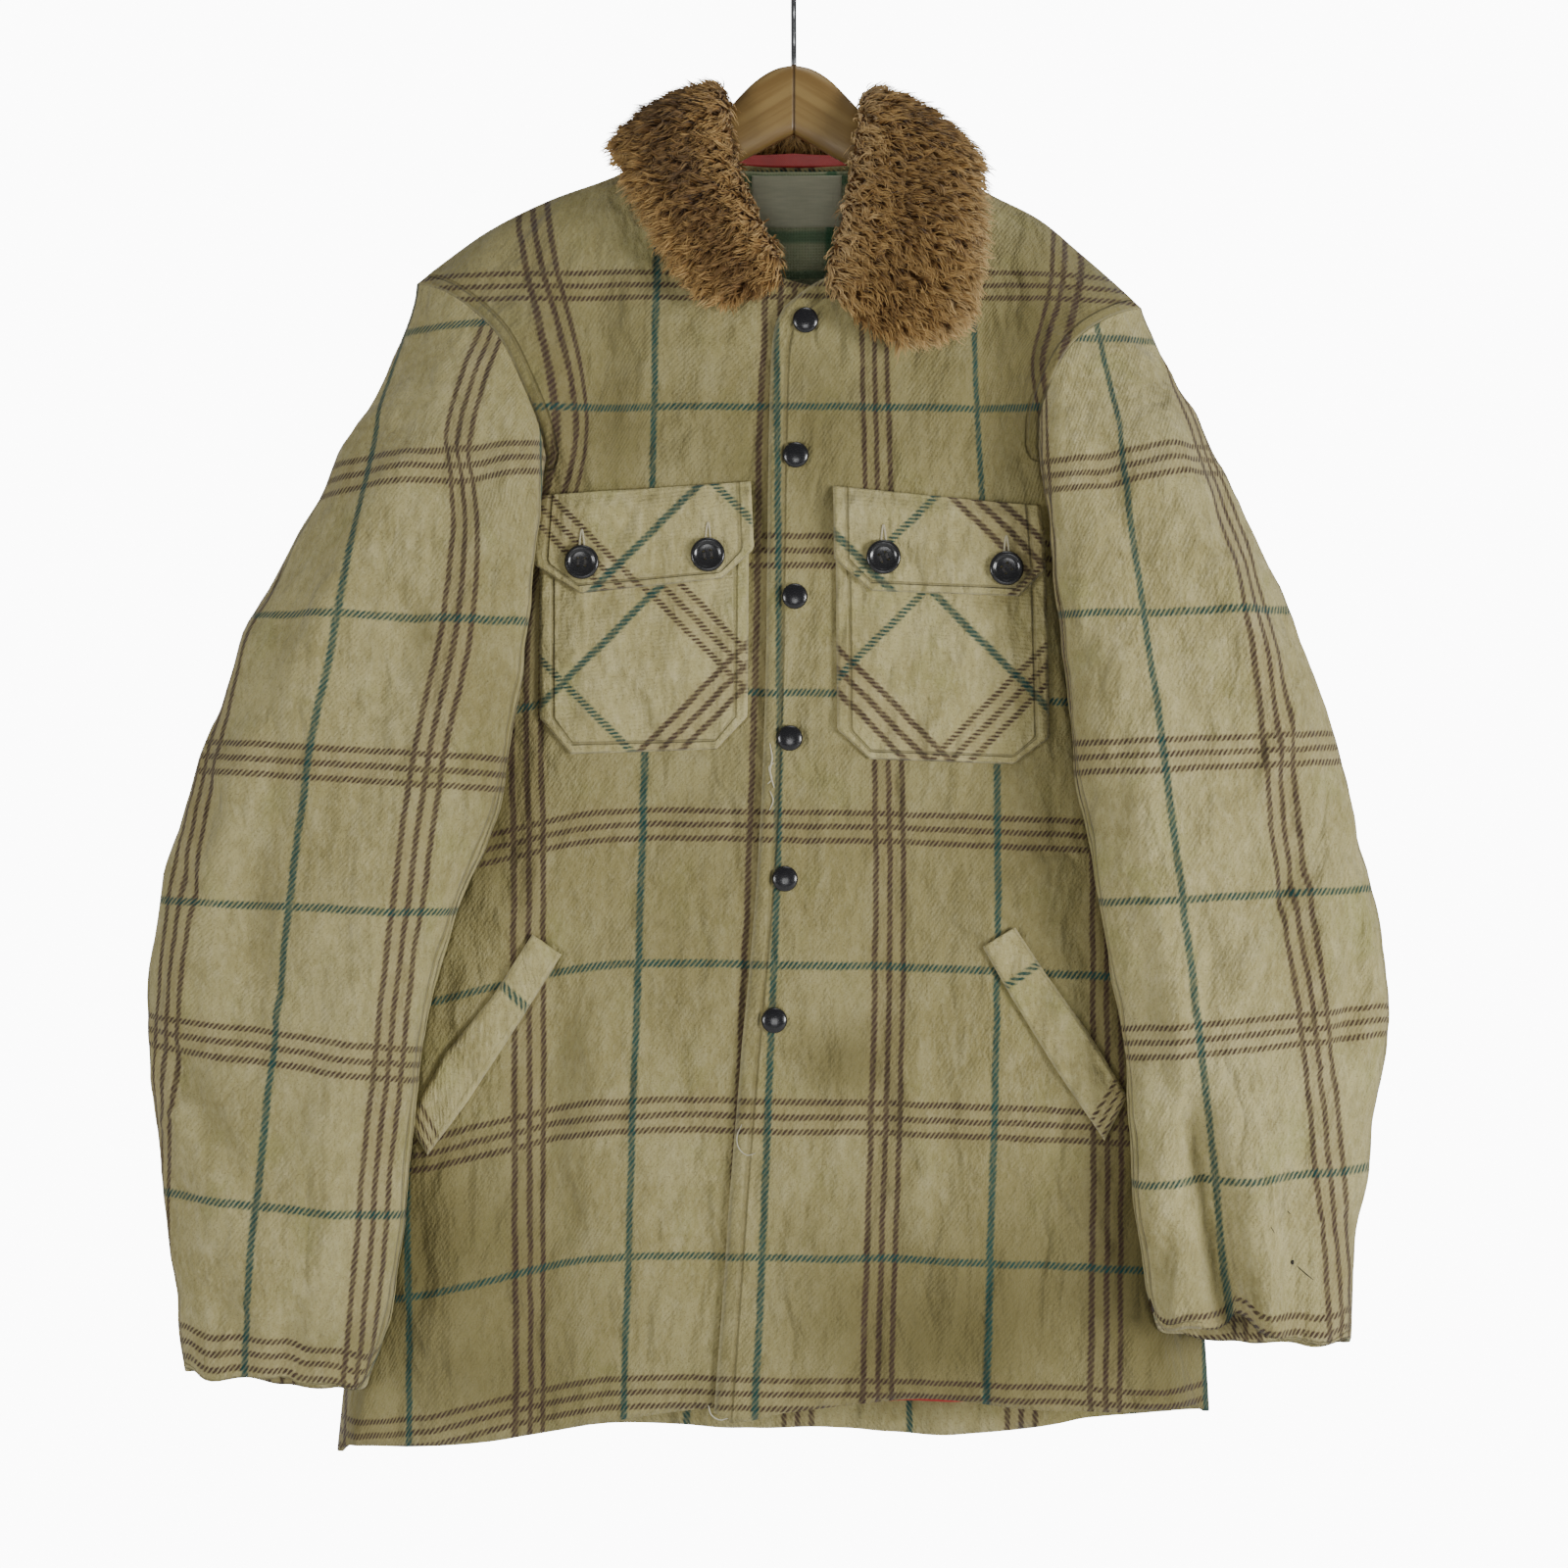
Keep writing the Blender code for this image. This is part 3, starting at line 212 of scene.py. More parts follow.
def woolLook():
    look = Look("plaidWool", 0.95, Sheen_Weight=0.12, Sheen_Roughness=0.6, Specular_IOR_Level=0.12)
    place = look.place()
    u, v = look.split(look.node("ShaderNodeUVMap", {"uv_map": "cloth"}))[:2]
    wander = look.noise(place, 38, 3, 0.6) - 0.5
    flick = look.noise(place, 460, 2, 0.6) - 0.5
    # the twill breaks the lines that lie across the cloth into slanting dashes, the others only a little
    slant = ((u - v * 0.75) * (2 * math.pi / plaid["twillRepeat"]) + flick * 2.5).math("SINE")
    dashes = look.between(slant, -0.65, 0.35)
    u = u + wander * plaid["wander"] + flick * plaid["flick"]
    v = v + (look.noise(place, 44, 3, 0.6) - 0.5) * plaid["wander"] + flick * plaid["flick"]

    def stripe(coordinate, repeat, shift, width, gap):
        offset = (coordinate / repeat + (0.5 - shift / repeat)).math("FRACT") - 0.5
        away = offset.math("ABSOLUTE") * repeat - slant * (width * 0.07)
        return (1 - look.between(away, width * 0.26, width * 0.68)) * (1 - (1 - dashes) * gap)

    def lines(shift, width, apart):
        # the same lines across and down the cloth
        found = None
        for coordinate, repeat, gap in ((u, plaid["acrossRepeat"], plaid["acrossGap"]),
                                        (v, plaid["downRepeat"], plaid["downGap"])):
            for k in apart:
                line = stripe(coordinate, repeat, repeat * shift + k, width, gap)
                found = line if found is None else found.math("MAXIMUM", line)
        return found

    apart = plaid["brownApart"]
    teal = lines(0.0, plaid["tealWidth"], (0.0,))
    brown = lines(0.5, plaid["brownWidth"], (-apart, 0.0, apart))
    band = lines(0.5, apart * 2.6, (0.0,))
    fleck = look.noise(place, 950, 2, 0.7)
    nap = look.noise(look.stretched(place, (1, 1, 0.45)), 360, 3, 0.65)
    rub = look.noise(look.stretched(place, (1, 1, 0.5)), 90, 4, 0.65)
    clouds = look.noise(place, 17, 5, 0.68)
    base = look.mix(look.between(clouds, 0.30, 0.66), plaid["dark"], plaid["light"])
    mottle = look.noise(look.stretched(place, (1, 1, 0.4)), 170, 3, 0.6)
    base = look.mix(look.between(mottle, 0.56, 0.34) * 0.42, base, plaid["shade"])
    base = look.mix(look.between(look.noise(place, 21, 3, 0.6), 0.52, 0.72) * 0.35, base, plaid["green"])
    base = look.mix(look.between(rub, 0.50, 0.72) * 0.45, base, plaid["pale"])
    base = look.mix(look.between(rub, 0.48, 0.28) * 0.35, base, plaid["dark"])
    base = look.mix(look.between(nap, 0.42, 0.72) * 0.40, base, plaid["pale"])
    base = look.mix(look.between(fleck, 0.47, 0.30) * 0.50, base, plaid["fleckAndGrooveShade"])
    base = look.mix(band * 0.42, base, plaid["band"])
    # painted shade with some dirt: cloth darkened under the collar, beside the sleeves, over the body and the right
    # sleeve
    base = look.mix(look.attribute("soil") * 0.85, base, plaid["soil"])
    worn = look.between(nap, 0.25, 0.62, 0.70, 0.98)
    base = look.mix(brown * worn * 0.94, base, plaid["brown"])
    base = look.mix(teal * worn * 0.96, base, plaid["teal"])
    edge = look.attribute("edge")
    # painted shade along the stitched groove, which the bump also sinks
    groove = 1 - look.between((edge - plaid["stitchLine"]).math("ABSOLUTE"), 0.0003, 0.0017)
    base = look.mix(groove * 0.42, base, plaid["fleckAndGrooveShade"])
    rim = 1 - look.between(edge, 0.0, 0.0022)
    base = look.mix(rim * 0.35, base, plaid["pale"])
    # small creases of thick wool, some of them sharp
    warped = look.node("ShaderNodeVectorMath", {"operation": "ADD"},
                       (look.stretched(place, (1, 1, 0.42)), look.noise(place, 9, 2) * 0.03))
    crease = look.noise(warped, 40, 3, 0.5)
    fold = (look.noise(warped, 24, 2, 0.45) - 0.5).math("ABSOLUTE")
    height = (nap + fleck * 0.6 + slant * 0.10 - groove * plaid["grooveDepth"] - rim + rub * plaid["rubHeight"]
              + crease * plaid["creaseHeight"] + look.between(fold, 0.0, 0.10) * plaid["foldHeight"])
    return look.paint(Base_Color=base, Normal=look.bump(height, plaid["bumpStrength"], plaid["bumpDistance"]))


def columns(names, *rows):
    # a table in millimetres, kept in metres, one list for each named column
    return {name: [row[i] * mm for row in rows] for i, name in enumerate(names.split())}


def read(table, key, column, value):
    # smooth curve through a table whose key column rises
    keys = table[key]
    values = table[column]
    if value <= keys[0]:
        return values[0] + (value - keys[0]) * (values[1] - values[0]) / (keys[1] - keys[0])
    if value >= keys[-1]:
        return values[-1] + (value - keys[-1]) * (values[-1] - values[-2]) / (keys[-1] - keys[-2])
    i = max(j for j in range(len(keys) - 1) if keys[j] <= value)

    def slope(j):
        a = max(j - 1, 0)
        b = min(j + 1, len(keys) - 1)
        return (values[b] - values[a]) / (keys[b] - keys[a])

    step = keys[i + 1] - keys[i]
    t = (value - keys[i]) / step
    return ((2 * t**3 - 3 * t**2 + 1) * values[i] + (t**3 - 2 * t**2 + t) * step * slope(i)
            + (-2 * t**3 + 3 * t**2) * values[i + 1] + (t**3 - t**2) * step * slope(i + 1))


def withRows(table):
    # the same table, with its rows counted, so that it can be read between them
    count = len(next(iter(table.values())))
    return dict(table, row=[float(k) for k in range(count)])


def runningLengths(points):
    # how far along its line each point lies
    lengths = [0.0]
    for a, b in zip(points, points[1:]):
        lengths.append(lengths[-1] + math.dist(a, b))
    return lengths


def smooth(low, high, value):
    t = min(1.0, max(0.0, (value - low) / (high - low)))
    return t * t * (3 - 2 * t)


def turn(distance, reach):
    # 0 at an edge, 1 where the cloth has finished turning round it
    t = min(1.0, max(0.0, distance / reach))
    return math.sqrt(1 - (1 - t) ** 2)


def boxed(angle, power):
    # a point of a round that grows boxier as the power falls below 1
    c, s = math.cos(angle), math.sin(angle)
    return math.copysign(abs(c) ** power, c), math.copysign(abs(s) ** power, s)


def sideOf(x):
    return "right" if x < 0 else "left"


forward = Vector((0, -1, 0))      # the way the front faces
backward = Vector((0, 1, 0))
farAway = 0.05                    # stands for no edge near by

# The body's form, from the same values as the solids. out is the distance from the middle
body = {
    "wool": 2.5 * mm, "seam": 0.3 * mm, "sideDepth": 10 * mm, "wingDepth": -4 * mm, "ridgeReach": 100 * mm,
    "sideReach": 20 * mm, "backReach": 70 * mm, "underlap": 45 * mm, "overlapRise": 3.1 * mm,
    "neckHalf": 78 * mm, "necklineDip": 5 * mm,
    "underarm": -0.42, "placketTop": -0.222, "middleHem": -0.892, "sideHem": {"right": -0.9229, "left": -0.8998},
    "lowRows": 72, "hiddenRows": 16, "capRows": 32, "backRows": 44, "panelColumns": 52, "neckColumns": 26,
    "topEase": 1.5,
    "form": columns("z out_right out_left front back",
                    (-930, 284, 260, -33, 31), (-860, 277, 256, -34, 36), (-780, 268, 250, -37, 40),
                    (-700, 258, 243, -40, 41), (-600, 248, 236, -41, 41), (-500, 240, 230, -41, 41),
                    (-420, 234, 224, -41, 40), (-380, 300, 290, -41, 39), (-250, 420, 410, -40, 37),
                    (-150, 520, 510, -36, 30), (-100, 560, 550, -34, 28)),
    "sleeveFold": columns("z right left",
                          (-930, 272, 238), (-875, 257, 221), (-834, 243, 216), (-784, 237, 210),
                          (-730, 231, 204), (-674, 223, 200), (-620, 212, 191), (-567, 195, 182),
                          (-508, 178, 171), (-461, 168, 163), (-417, 160, 157), (-371, 154, 152),
                          (-300, 148, 147)),
    "ridge": {"right": columns("out z", (0, -100), (78, -121), (88, -125), (115, -137), (151, -150),
                               (188, -168.6), (218, -190), (233.2, -201.9)),
              "left": columns("out z", (0, -100), (78, -121.5), (88, -126), (121, -146), (152, -162),
                              (176, -182), (200, -203), (215.2, -217.1))},
    "armhole": {
        "front_right": columns("out z", (234, -420), (185, -385), (158, -345), (149.8, -313.6),
                               (154.4, -293), (165.4, -266), (177.9, -241.3), (193.7, -223.8),
                               (213, -209.8), (233.2, -201.9)),
        "front_left": columns("out z", (224, -420), (180, -383), (156, -342), (147.8, -307.7),
                              (148.9, -287), (157, -264), (165.9, -247.8), (178.7, -234.5),
                              (196.2, -224.2), (215.2, -217.1)),
        "back_right": columns("out z", (234, -420), (195, -380), (178, -335), (175, -290), (183, -250),
                              (205, -218), (233.2, -201.9)),
        "back_left": columns("out z", (224, -420), (188, -378), (172, -335), (168, -292), (173, -258),
                             (190, -232), (215.2, -217.1))},
    "foldPoint": 3,
    "hem": {
        "front_right": columns("x z", (-282.4, -922.9), (-277, -915.5), (-232, -914.2), (-185, -911),
                               (-149, -905), (-101, -897), (-65, -892), (-45, -890), (0, -888)),
        "front_left": columns("x z", (-52, -890), (-38, -899), (-6, -893), (36, -888.5), (77, -885),
                              (113, -888), (149, -892), (190, -893.5), (254, -893), (259.5, -899.8)),
        "back": columns("x z", (-282.4, -922.9), (-230, -921), (-170, -917), (-104, -912), (-31, -915.7),
                        (31, -915), (92, -919.4), (154, -914.4), (185, -909.5), (240, -903),
                        (259.5, -899.8))},
    "placket": columns("z x",
                       (-899, -49), (-819, -43), (-748, -38), (-677, -32), (-600, -25), (-541, -20.8),
                       (-452, -17.3), (-363, -16), (-274, -14.3), (-235, -11.9), (-222, -6)),
    "neckline": {"left": [(-6, -222), (10, -209), (34, -196), (55, -172), (68, -146), (78, -121.5)],
                 "right": [(36, -208), (8, -208), (-24, -196), (-50, -172), (-66, -146), (-78, -121)]},
    # main folds: a line from one end to the other, half width, height (+ stands out)
    "folds": {
        "front": [((-176, -222), (-139, -318), 13, 9), ((-118, -215), (-112, -300), 12, -6),
                  ((-128, -580), (-142, -700), 20, -4), ((-100, -640), (-88, -860), 26, 4),
                  ((-200, -800), (-214, -905), 18, 4), ((-160, -790), (-166, -910), 16, -3),
                  ((168, -232), (142, -314), 12, 8), ((118, -225), (112, -300), 12, -5),
                  ((60, -560), (64, -760), 22, -4), ((96, -660), (104, -860), 24, 4),
                  ((150, -740), (160, -890), 20, -4), ((200, -790), (212, -890), 20, 4)],
        "back": [((-150, -230), (-120, -380), 22, 6), ((140, -240), (110, -380), 20, 6),
                 ((-60, -420), (-84, -720), 34, -5), ((40, -300), (56, -560), 30, 4),
                 ((100, -560), (126, -900), 30, -5), ((-150, -600), (-180, -910), 30, 5),
                 ((0, -620), (-8, -910), 30, 4), ((190, -700), (204, -900), 22, 4)]},
    # small soft folds that only show here: the same kind of line
    "softFolds": [((-60, -330), (-30, -400), 14, -2.4), ((-206, -560), (-150, -640), 9, 3.3),
                  ((-180, -650), (-120, -720), 12, -2.7), ((-96, -690), (-70, -770), 12, 2.4),
                  ((-210, -780), (-120, -850), 12, 2.7), ((-240, -830), (-235, -905), 9, -3.6),
                  ((-130, -840), (-124, -905), 11, 3), ((-66, -800), (-60, -885), 9, -2.4),
                  ((30, -520), (26, -640), 11, -2.4), ((40, -640), (80, -720), 13, 2.4),
                  ((130, -560), (110, -640), 12, 2.7), ((60, -780), (40, -880), 12, -3),
                  ((130, -800), (124, -890), 11, 3.3), ((180, -800), (176, -890), 9, -3.3),
                  ((84, -300), (60, -330), 12, 2.1), ((100, -540), (136, -590), 10, -2.4),
                  ((88, -640), (94, -770), 8, -5.1), ((-140, -640), (-152, -770), 10, -5.4),
                  ((68, -620), (74, -780), 12, 3.9), ((-118, -630), (-122, -780), 14, 3.9)],
}


def ridge(x):
    return read(body["ridge"][sideOf(x)], "out", "z", abs(x))


def foldHeight(folds, x, z):
    total = 0.0
    for (x0, z0), (x1, z1), width, height in folds:
        ax = (x1 - x0) * mm
        az = (z1 - z0) * mm
        px = x - x0 * mm
        pz = z - z0 * mm
        across = (px * az - pz * ax) / math.hypot(ax, az)
        if abs(across) > 3 * width * mm:
            continue
        along = (px * ax + pz * az) / (ax * ax + az * az)
        ends = smooth(-0.15, 0.25, along) * (1 - smooth(0.75, 1.15, along))
        total += height * mm * ends * math.exp(-(across / (width * mm)) ** 2)
    return total


def crinkle(x, y, z, amount=1.0):
    # slow hollows and small ripples of old heavy wool
    return amount * (noise.noise(Vector((x * 11, y * 11, z * 7 + 3))) * 2.4
                     + noise.noise(Vector((x * 27 + z * 6, y * 27, z * 8))) * 2.3
                     + noise.noise(Vector((x * 36 + 5, y * 36, z * 30))) * 1.3
                     + noise.noise(Vector((x * 60 - z * 14, y * 60, z * 17 + 2))) * 0.9
                     + noise.noise(Vector((x * 85, y * 85, z * 75 + 9))) * 0.5) * mm


def placketAt(z):
    # where the placket's free edge stands
    return read(body["placket"], "z", "x", min(z, body["placketTop"]))


def frontDepth(x, z, panel):
    # depth of the outer face of a front
    out = abs(x)
    side = sideOf(x)
    middle = read(body["form"], "z", "front", z)
    fold = read(body["sleeveFold"], "z", side, z)
    behindSleeve = smooth(fold - 2 * mm, fold + 35 * mm, out) * (1 - smooth(-0.36, -0.30, z))
    y = middle + (body["wingDepth"] - middle) * behindSleeve
    half = body["underlap"] / 2
    strip = abs(x - placketAt(z) - half)
    besideStrip = smooth(half + 2 * mm, half + 26 * mm, strip)
    y -= foldHeight(body["folds"]["front"], x, z) * (1 - behindSleeve) * besideStrip
    y -= (foldHeight(body["softFolds"], x, z) * besideStrip + crinkle(x, 0, z)) * (1 - behindSleeve)
    y = body["sideDepth"] + (y - body["sideDepth"]) * turn(
        read(body["form"], "z", "out_" + side, z) - out, body["sideReach"])
    y *= turn(ridge(x) - z, body["ridgeReach"])
    if panel == "front_left":
        inside = x - placketAt(z)
        y -= body["overlapRise"] * (1 - smooth(body["underlap"] + 12 * mm, body["underlap"] + 42 * mm, inside))
    return y


def backDepth(x, z):
    # depth of the outer face of the back
    middle = read(body["form"], "z", "back", z) + foldHeight(body["folds"]["back"], x, z)
    middle += crinkle(x, 0.3, z, 1.4)
    edge = read(body["form"], "z", "out_" + sideOf(x), z) - abs(x)
    y = body["sideDepth"] + (middle - body["sideDepth"]) * turn(edge, body["backReach"])
    return y * turn(ridge(x) - z, body["ridgeReach"])


def walk(points, count, ease=1.0):
    # count + 1 points along a smooth line through the given ones, closer near its end if eased
    lengths = runningLengths(points)
    table = {"s": lengths, "x": [p[0] for p in points], "z": [p[1] for p in points]}
    stops = [lengths[-1] * (1 - (1 - k / count) ** ease) for k in range(count + 1)]
    return [(read(table, "s", "x", s), read(table, "s", "z", s)) for s in stops]


def mirrored(panel):
    return -1 if panel.endswith("right") else 1


def armholeLine(panel):
    # from the underarm to the shoulder tip
    table = body["armhole"][panel]
    points = [(mirrored(panel) * out, z) for out, z in zip(table["out"], table["z"])]
    if panel.startswith("back"):
        return walk(points, body["backRows"], body["topEase"])
    fold = body["foldPoint"]
    return walk(points[:fold + 1], body["hiddenRows"]) + walk(points[fold:], body["capRows"], body["topEase"])[1:]


def sideLine(panel):
    # from the hem to the underarm
    side = panel.split("_")[1]
    low = body["sideHem"][side]
    rows = body["lowRows"]
    heights = [low + (body["underarm"] - low) * k / rows for k in range(rows + 1)]
    return [(mirrored(panel) * read(body["form"], "z", "out_" + side, z), z) for z in heights]


def frontRows(panel):
    # the two ends of every row of a front, from the hem up
    left = panel == "front_left"
    outer = sideLine(panel) + armholeLine(panel)[1:]
    shift = 0.0 if left else body["underlap"]
    low = body["middleHem"]
    rows = body["lowRows"]
    underarm = body["underarm"]
    heights = [low + (underarm - low) * k / rows for k in range(rows + 1)]
    middle = [(read(body["placket"], "z", "x", z) + shift, z) for z in heights]
    neck = [(x * mm, z * mm) for x, z in body["neckline"]["left" if left else "right"]]
    upper = body["hiddenRows"] + body["capRows"]
    edgeRows = round(upper * 5 / 12)
    top = neck[0][1]
    for k in range(1, edgeRows + 1):
        z = underarm + (top - underarm) * k / edgeRows
        middle.append((placketAt(z) + shift if k < edgeRows else neck[0][0], z))
    middle += walk(neck, upper - edgeRows, body["topEase"])[1:]
    return list(zip(middle, outer))


def spread(share, middleX, outerX, z, side):
    # where a column stands along its row: closer together where the front falls back
    fold = read(body["sleeveFold"], "z", side, z)
    flat = (abs(outerX) - fold + 4 * mm) / abs(outerX - middleX)
    start = max(0.5, 1 - flat)
    low = [start * k / 5 for k in range(6)] + [start + (1 - start) * s for s in (0.24, 0.48, 0.72, 0.9, 1)]
    at = share * 10
    k = min(int(at), 9)
    crowded = low[k] + (low[k + 1] - low[k]) * (at - k)
    return crowded + (share - crowded) * smooth(-0.41, -0.31, z)


# Where the plaid's lines lie on the body, in mm: teal on whole numbers, brown on halves
bodyPlaid = {
    "front_right": [(-1.5, columns("z x", (-900, -375), (-120, -375))),
                    (0.0, columns("z x", (-900, -235), (-120, -235))),
                    (0.5, columns("z x", (-900, -160), (-867, -159.7), (-570, -160.3), (-400, -159), (-297, -131),
                                  (-179, -157), (-120, -166))),
                    (1.0, columns("z x", (-900, -104), (-867, -103.3), (-541, -92), (-214, -84), (-120, -84))),
                    (1.5, columns("z x", (-900, -33), (-740, -27), (-570, -18.5), (-400, -13), (-300, -11.5),
                                  (-230, -8), (-120, -6))),
                    (2.5, columns("z x", (-900, 118), (-120, 118)))],
    "front_left": [(-1.0, columns("z x", (-900, -150), (-120, -150))),
                   (0.0, columns("z x", (-900, -24), (-891, -23.8), (-689, -14.9), (-511, -9), (-274, -10.2),
                                 (-120, -11))),
                   (0.5, columns("z x", (-900, 51), (-867, 51.6), (-570, 58.1), (-274, 49.2), (-120, 47))),
                   (1.0, columns("z x", (-900, 116), (-867, 117.4), (-541, 123.4), (-250, 110.3), (-120, 106))),
                   (1.5, columns("z x", (-900, 190), (-660, 189.8), (-420, 182), (-262, 149.5), (-208, 163),
                                 (-120, 172))),
                   (2.0, columns("z x", (-900, 255), (-120, 252))),
                   (3.0, columns("z x", (-900, 390), (-120, 390)))],
    "heights": {"at": [-1100 * mm, -882 * mm, -798.8 * mm, -712.8 * mm, -620.8 * mm, -536.5 * mm, -455.8 * mm,
                       -369.8 * mm, -282.5 * mm, -208 * mm, -130 * mm, 42 * mm],
                "phase": [-0.8, 0.5, 1.0, 1.5, 2.0, 2.5, 3.0, 3.5, 4.0, 4.5, 5.0, 6.0]},
    "droopRight": columns("out drop", (0, 0), (115, 0), (190, 15), (225, 23), (273, 27), (400, 30)),
    "droopLeft": columns("out drop", (0, 0), (60, 1), (130, 4), (230, 8), (400, 12)),
}


def phaseUp(x, z):
    side = sideOf(x)
    low = bodyPlaid["heights"]
    droop = read(bodyPlaid["droopRight" if side == "right" else "droopLeft"], "out", "drop", abs(x))
    droop *= 1 - smooth(-0.40, -0.25, z)
    return read(low, "at", "phase", z + droop) * plaid["downRepeat"]


def bodyCloth(panel, x, z):
    if panel == "back":
        return (0.52 - x / plaid["acrossRepeat"]) * plaid["acrossRepeat"], phaseUp(0, z)
    knots = [(phase, read(line, "z", "x", z)) for phase, line in bodyPlaid[panel]]
    k = 0
    while k < len(knots) - 2 and x > knots[k + 1][1]:
        k += 1
    (p0, x0), (p1, x1) = knots[k], knots[k + 1]
    return (p0 + (p1 - p0) * (x - x0) / (x1 - x0)) * plaid["acrossRepeat"], phaseUp(x, z)


# Painted shade with a few stains: darker patches under the collar, beside the sleeves and towards the hem; centre x,
# z, half width, half height in mm, strength
shadeAndDirtSpots = {
    "front_right": [(-90, -285, 90, 55, 0.1), (-30, -330, 20, 60, 0.2), (-80, -560, 150, 120, 0.22),
                    (-150, -860, 120, 60, 0.25), (-175, -785, 60, 70, 0.45), (-190, -520, 30, 60, 0.5),
                    (-100, -228, 40, 30, 0.35), (-100, -300, 40, 30, 0.1), (-30, -400, 24, 120, 0.25),
                    (-112, -300, 22, 60, 0.3), (-232, -800, 40, 90, 0.35), (-70, -300, 60, 40, 0.2),
                    (-180, -880, 60, 30, 0.3), (-66, -620, 30, 60, 0.15), (-30, -880, 30, 30, 0.3)],
    "front_left": [(95, -285, 80, 55, 0.36), (20, -330, 30, 60, 0.2), (70, -560, 110, 110, 0.24),
                   (100, -830, 110, 70, 0.2), (145, -785, 50, 60, 0.35), (32, -670, 34, 20, 0.4),
                   (10, -290, 24, 60, 0.3), (90, -860, 90, 60, 0.55), (215, -780, 35, 120, 0.5),
                   (140, -230, 40, 40, 0.35), (20, -800, 40, 60, 0.25), (30, -690, 30, 18, 0.35),
                   (200, -640, 30, 60, 0.3), (120, -560, 30, 40, 0.2)],
    "back": [(0, -880, 200, 40, 0.3), (-190, -800, 60, 120, 0.25), (190, -780, 60, 120, 0.25),
             (0, -160, 80, 30, 0.3)],
    "right": [(-330, -700, 30, 50, 0.22), (-250, -845, 60, 18, 0.3), (-300, -560, 22, 60, 0.2),
              (-180, -480, 20, 90, 0.3)],
    "left": [(240, -815, 50, 25, 0.3), (300, -560, 25, 80, 0.2), (175, -480, 18, 90, 0.3),
             (330, -800, 25, 40, 0.25)],
}
# painted shade over whole pieces: the fronts, the back and the right sleeve darker than the left sleeve, the laid-on
# pieces a little
paintedShadeBase = {"front_right": 0.30, "front_left": 0.32, "back": 0.25, "right": 0.20, "left": 0.02}
laidPaintedShade = 0.03
darkestShadeAndDirt = 1.12


def shadeAndDirtAt(piece, x, z):
    total = paintedShadeBase[piece]
    if piece.startswith("front"):
        # painted shade: the sides behind the sleeves are the darkest
        total += 0.35 * smooth(-32 * mm, 12 * mm, abs(x) - read(body["sleeveFold"], "z", sideOf(x), z))
    for cx, cz, halfX, halfZ, strength in shadeAndDirtSpots.get(piece, ()):
        total += strength * math.exp(-((x / mm - cx) / halfX) ** 2 - ((z / mm - cz) / halfZ) ** 2)
    return min(darkestShadeAndDirt, total)


sheets = {}    # what each cloth piece was cut to: width, length, area
made = {}      # the finished cloth pieces by name


def fabric(name, across, down, point, cloth, edge, soil, thickness, finish, outward=forward):
    # a sheet: a grid whose vertices are put in place, with its cloth coordinates, its worn edges and a mask of dirt
    # and painted shade
    shape = bmesh.new()
    uv = shape.loops.layers.uv.new("cloth")
    edges = shape.verts.layers.float.new("edge")
    shadeAndDirtLayer = shape.verts.layers.float.new("soil")
    bmesh.ops.create_grid(shape, x_segments=across, y_segments=down, size=1)
    spots = {v: (round((v.co.x + 1) / 2 * across), round((v.co.y + 1) / 2 * down)) for v in shape.verts}
    for v, (i, j) in spots.items():
        v.co = point(i, j)
        v[edges] = edge(i, j)
        v[shadeAndDirtLayer] = soil(i, j)
    for face in shape.faces:
        for loop in face.loops:
            loop[uv].uv = cloth(*spots[loop.vert])
        face.smooth = True
    shape.normal_update()
    if sum((face.normal * face.calc_area() for face in shape.faces), Vector()).dot(outward) < 0:
        bmesh.ops.reverse_faces(shape, faces=shape.faces[:])
    width = max(sum((point(i + 1, j) - point(i, j)).length for i in range(across)) for j in range(down + 1))
    length = max(sum((point(i, j + 1) - point(i, j)).length for j in range(down)) for i in range(across + 1))
    sheets[name] = (width, length, sum(face.calc_area() for face in shape.faces))
    mesh = bpy.data.meshes.new(name)
    shape.to_mesh(mesh)
    shape.free()
    mesh.materials.append(finish)
    piece = bpy.data.objects.new(name, mesh)
    bpy.context.scene.collection.objects.link(piece)
    wall = piece.modifiers.new("wall", "SOLIDIFY")
    wall.thickness = thickness
    wall.offset = -1
    wall.use_even_offset = False
    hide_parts(name)
    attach(piece, "root")
    made[name] = piece


def plainFabric(name, across, down, spot, thickness, finish):
    # one without plaid, worn edges, dirt or painted shade
    fabric(name, across, down, spot, lambda i, j: (spot(i, j).x, spot(i, j).z), lambda i, j: farAway,
           lambda i, j: 0.0, thickness, finish)


def between(a, b, share):
    # a point on the straight line from one end of a row to the other
    return a[0] + (b[0] - a[0]) * share, a[1] + (b[1] - a[1]) * share


def lineDistance(line, x, z):
    # distance from a point to a polyline in the plane of the front
    best = 1.0
    for (ax, az), (bx, bz) in zip(line, line[1:]):
        dx, dz = bx - ax, bz - az
        t = max(0.0, min(1.0, ((x - ax) * dx + (z - az) * dz) / (dx * dx + dz * dz + 1e-12)))
        best = min(best, math.hypot(x - ax - t * dx, z - az - t * dz))
    return best


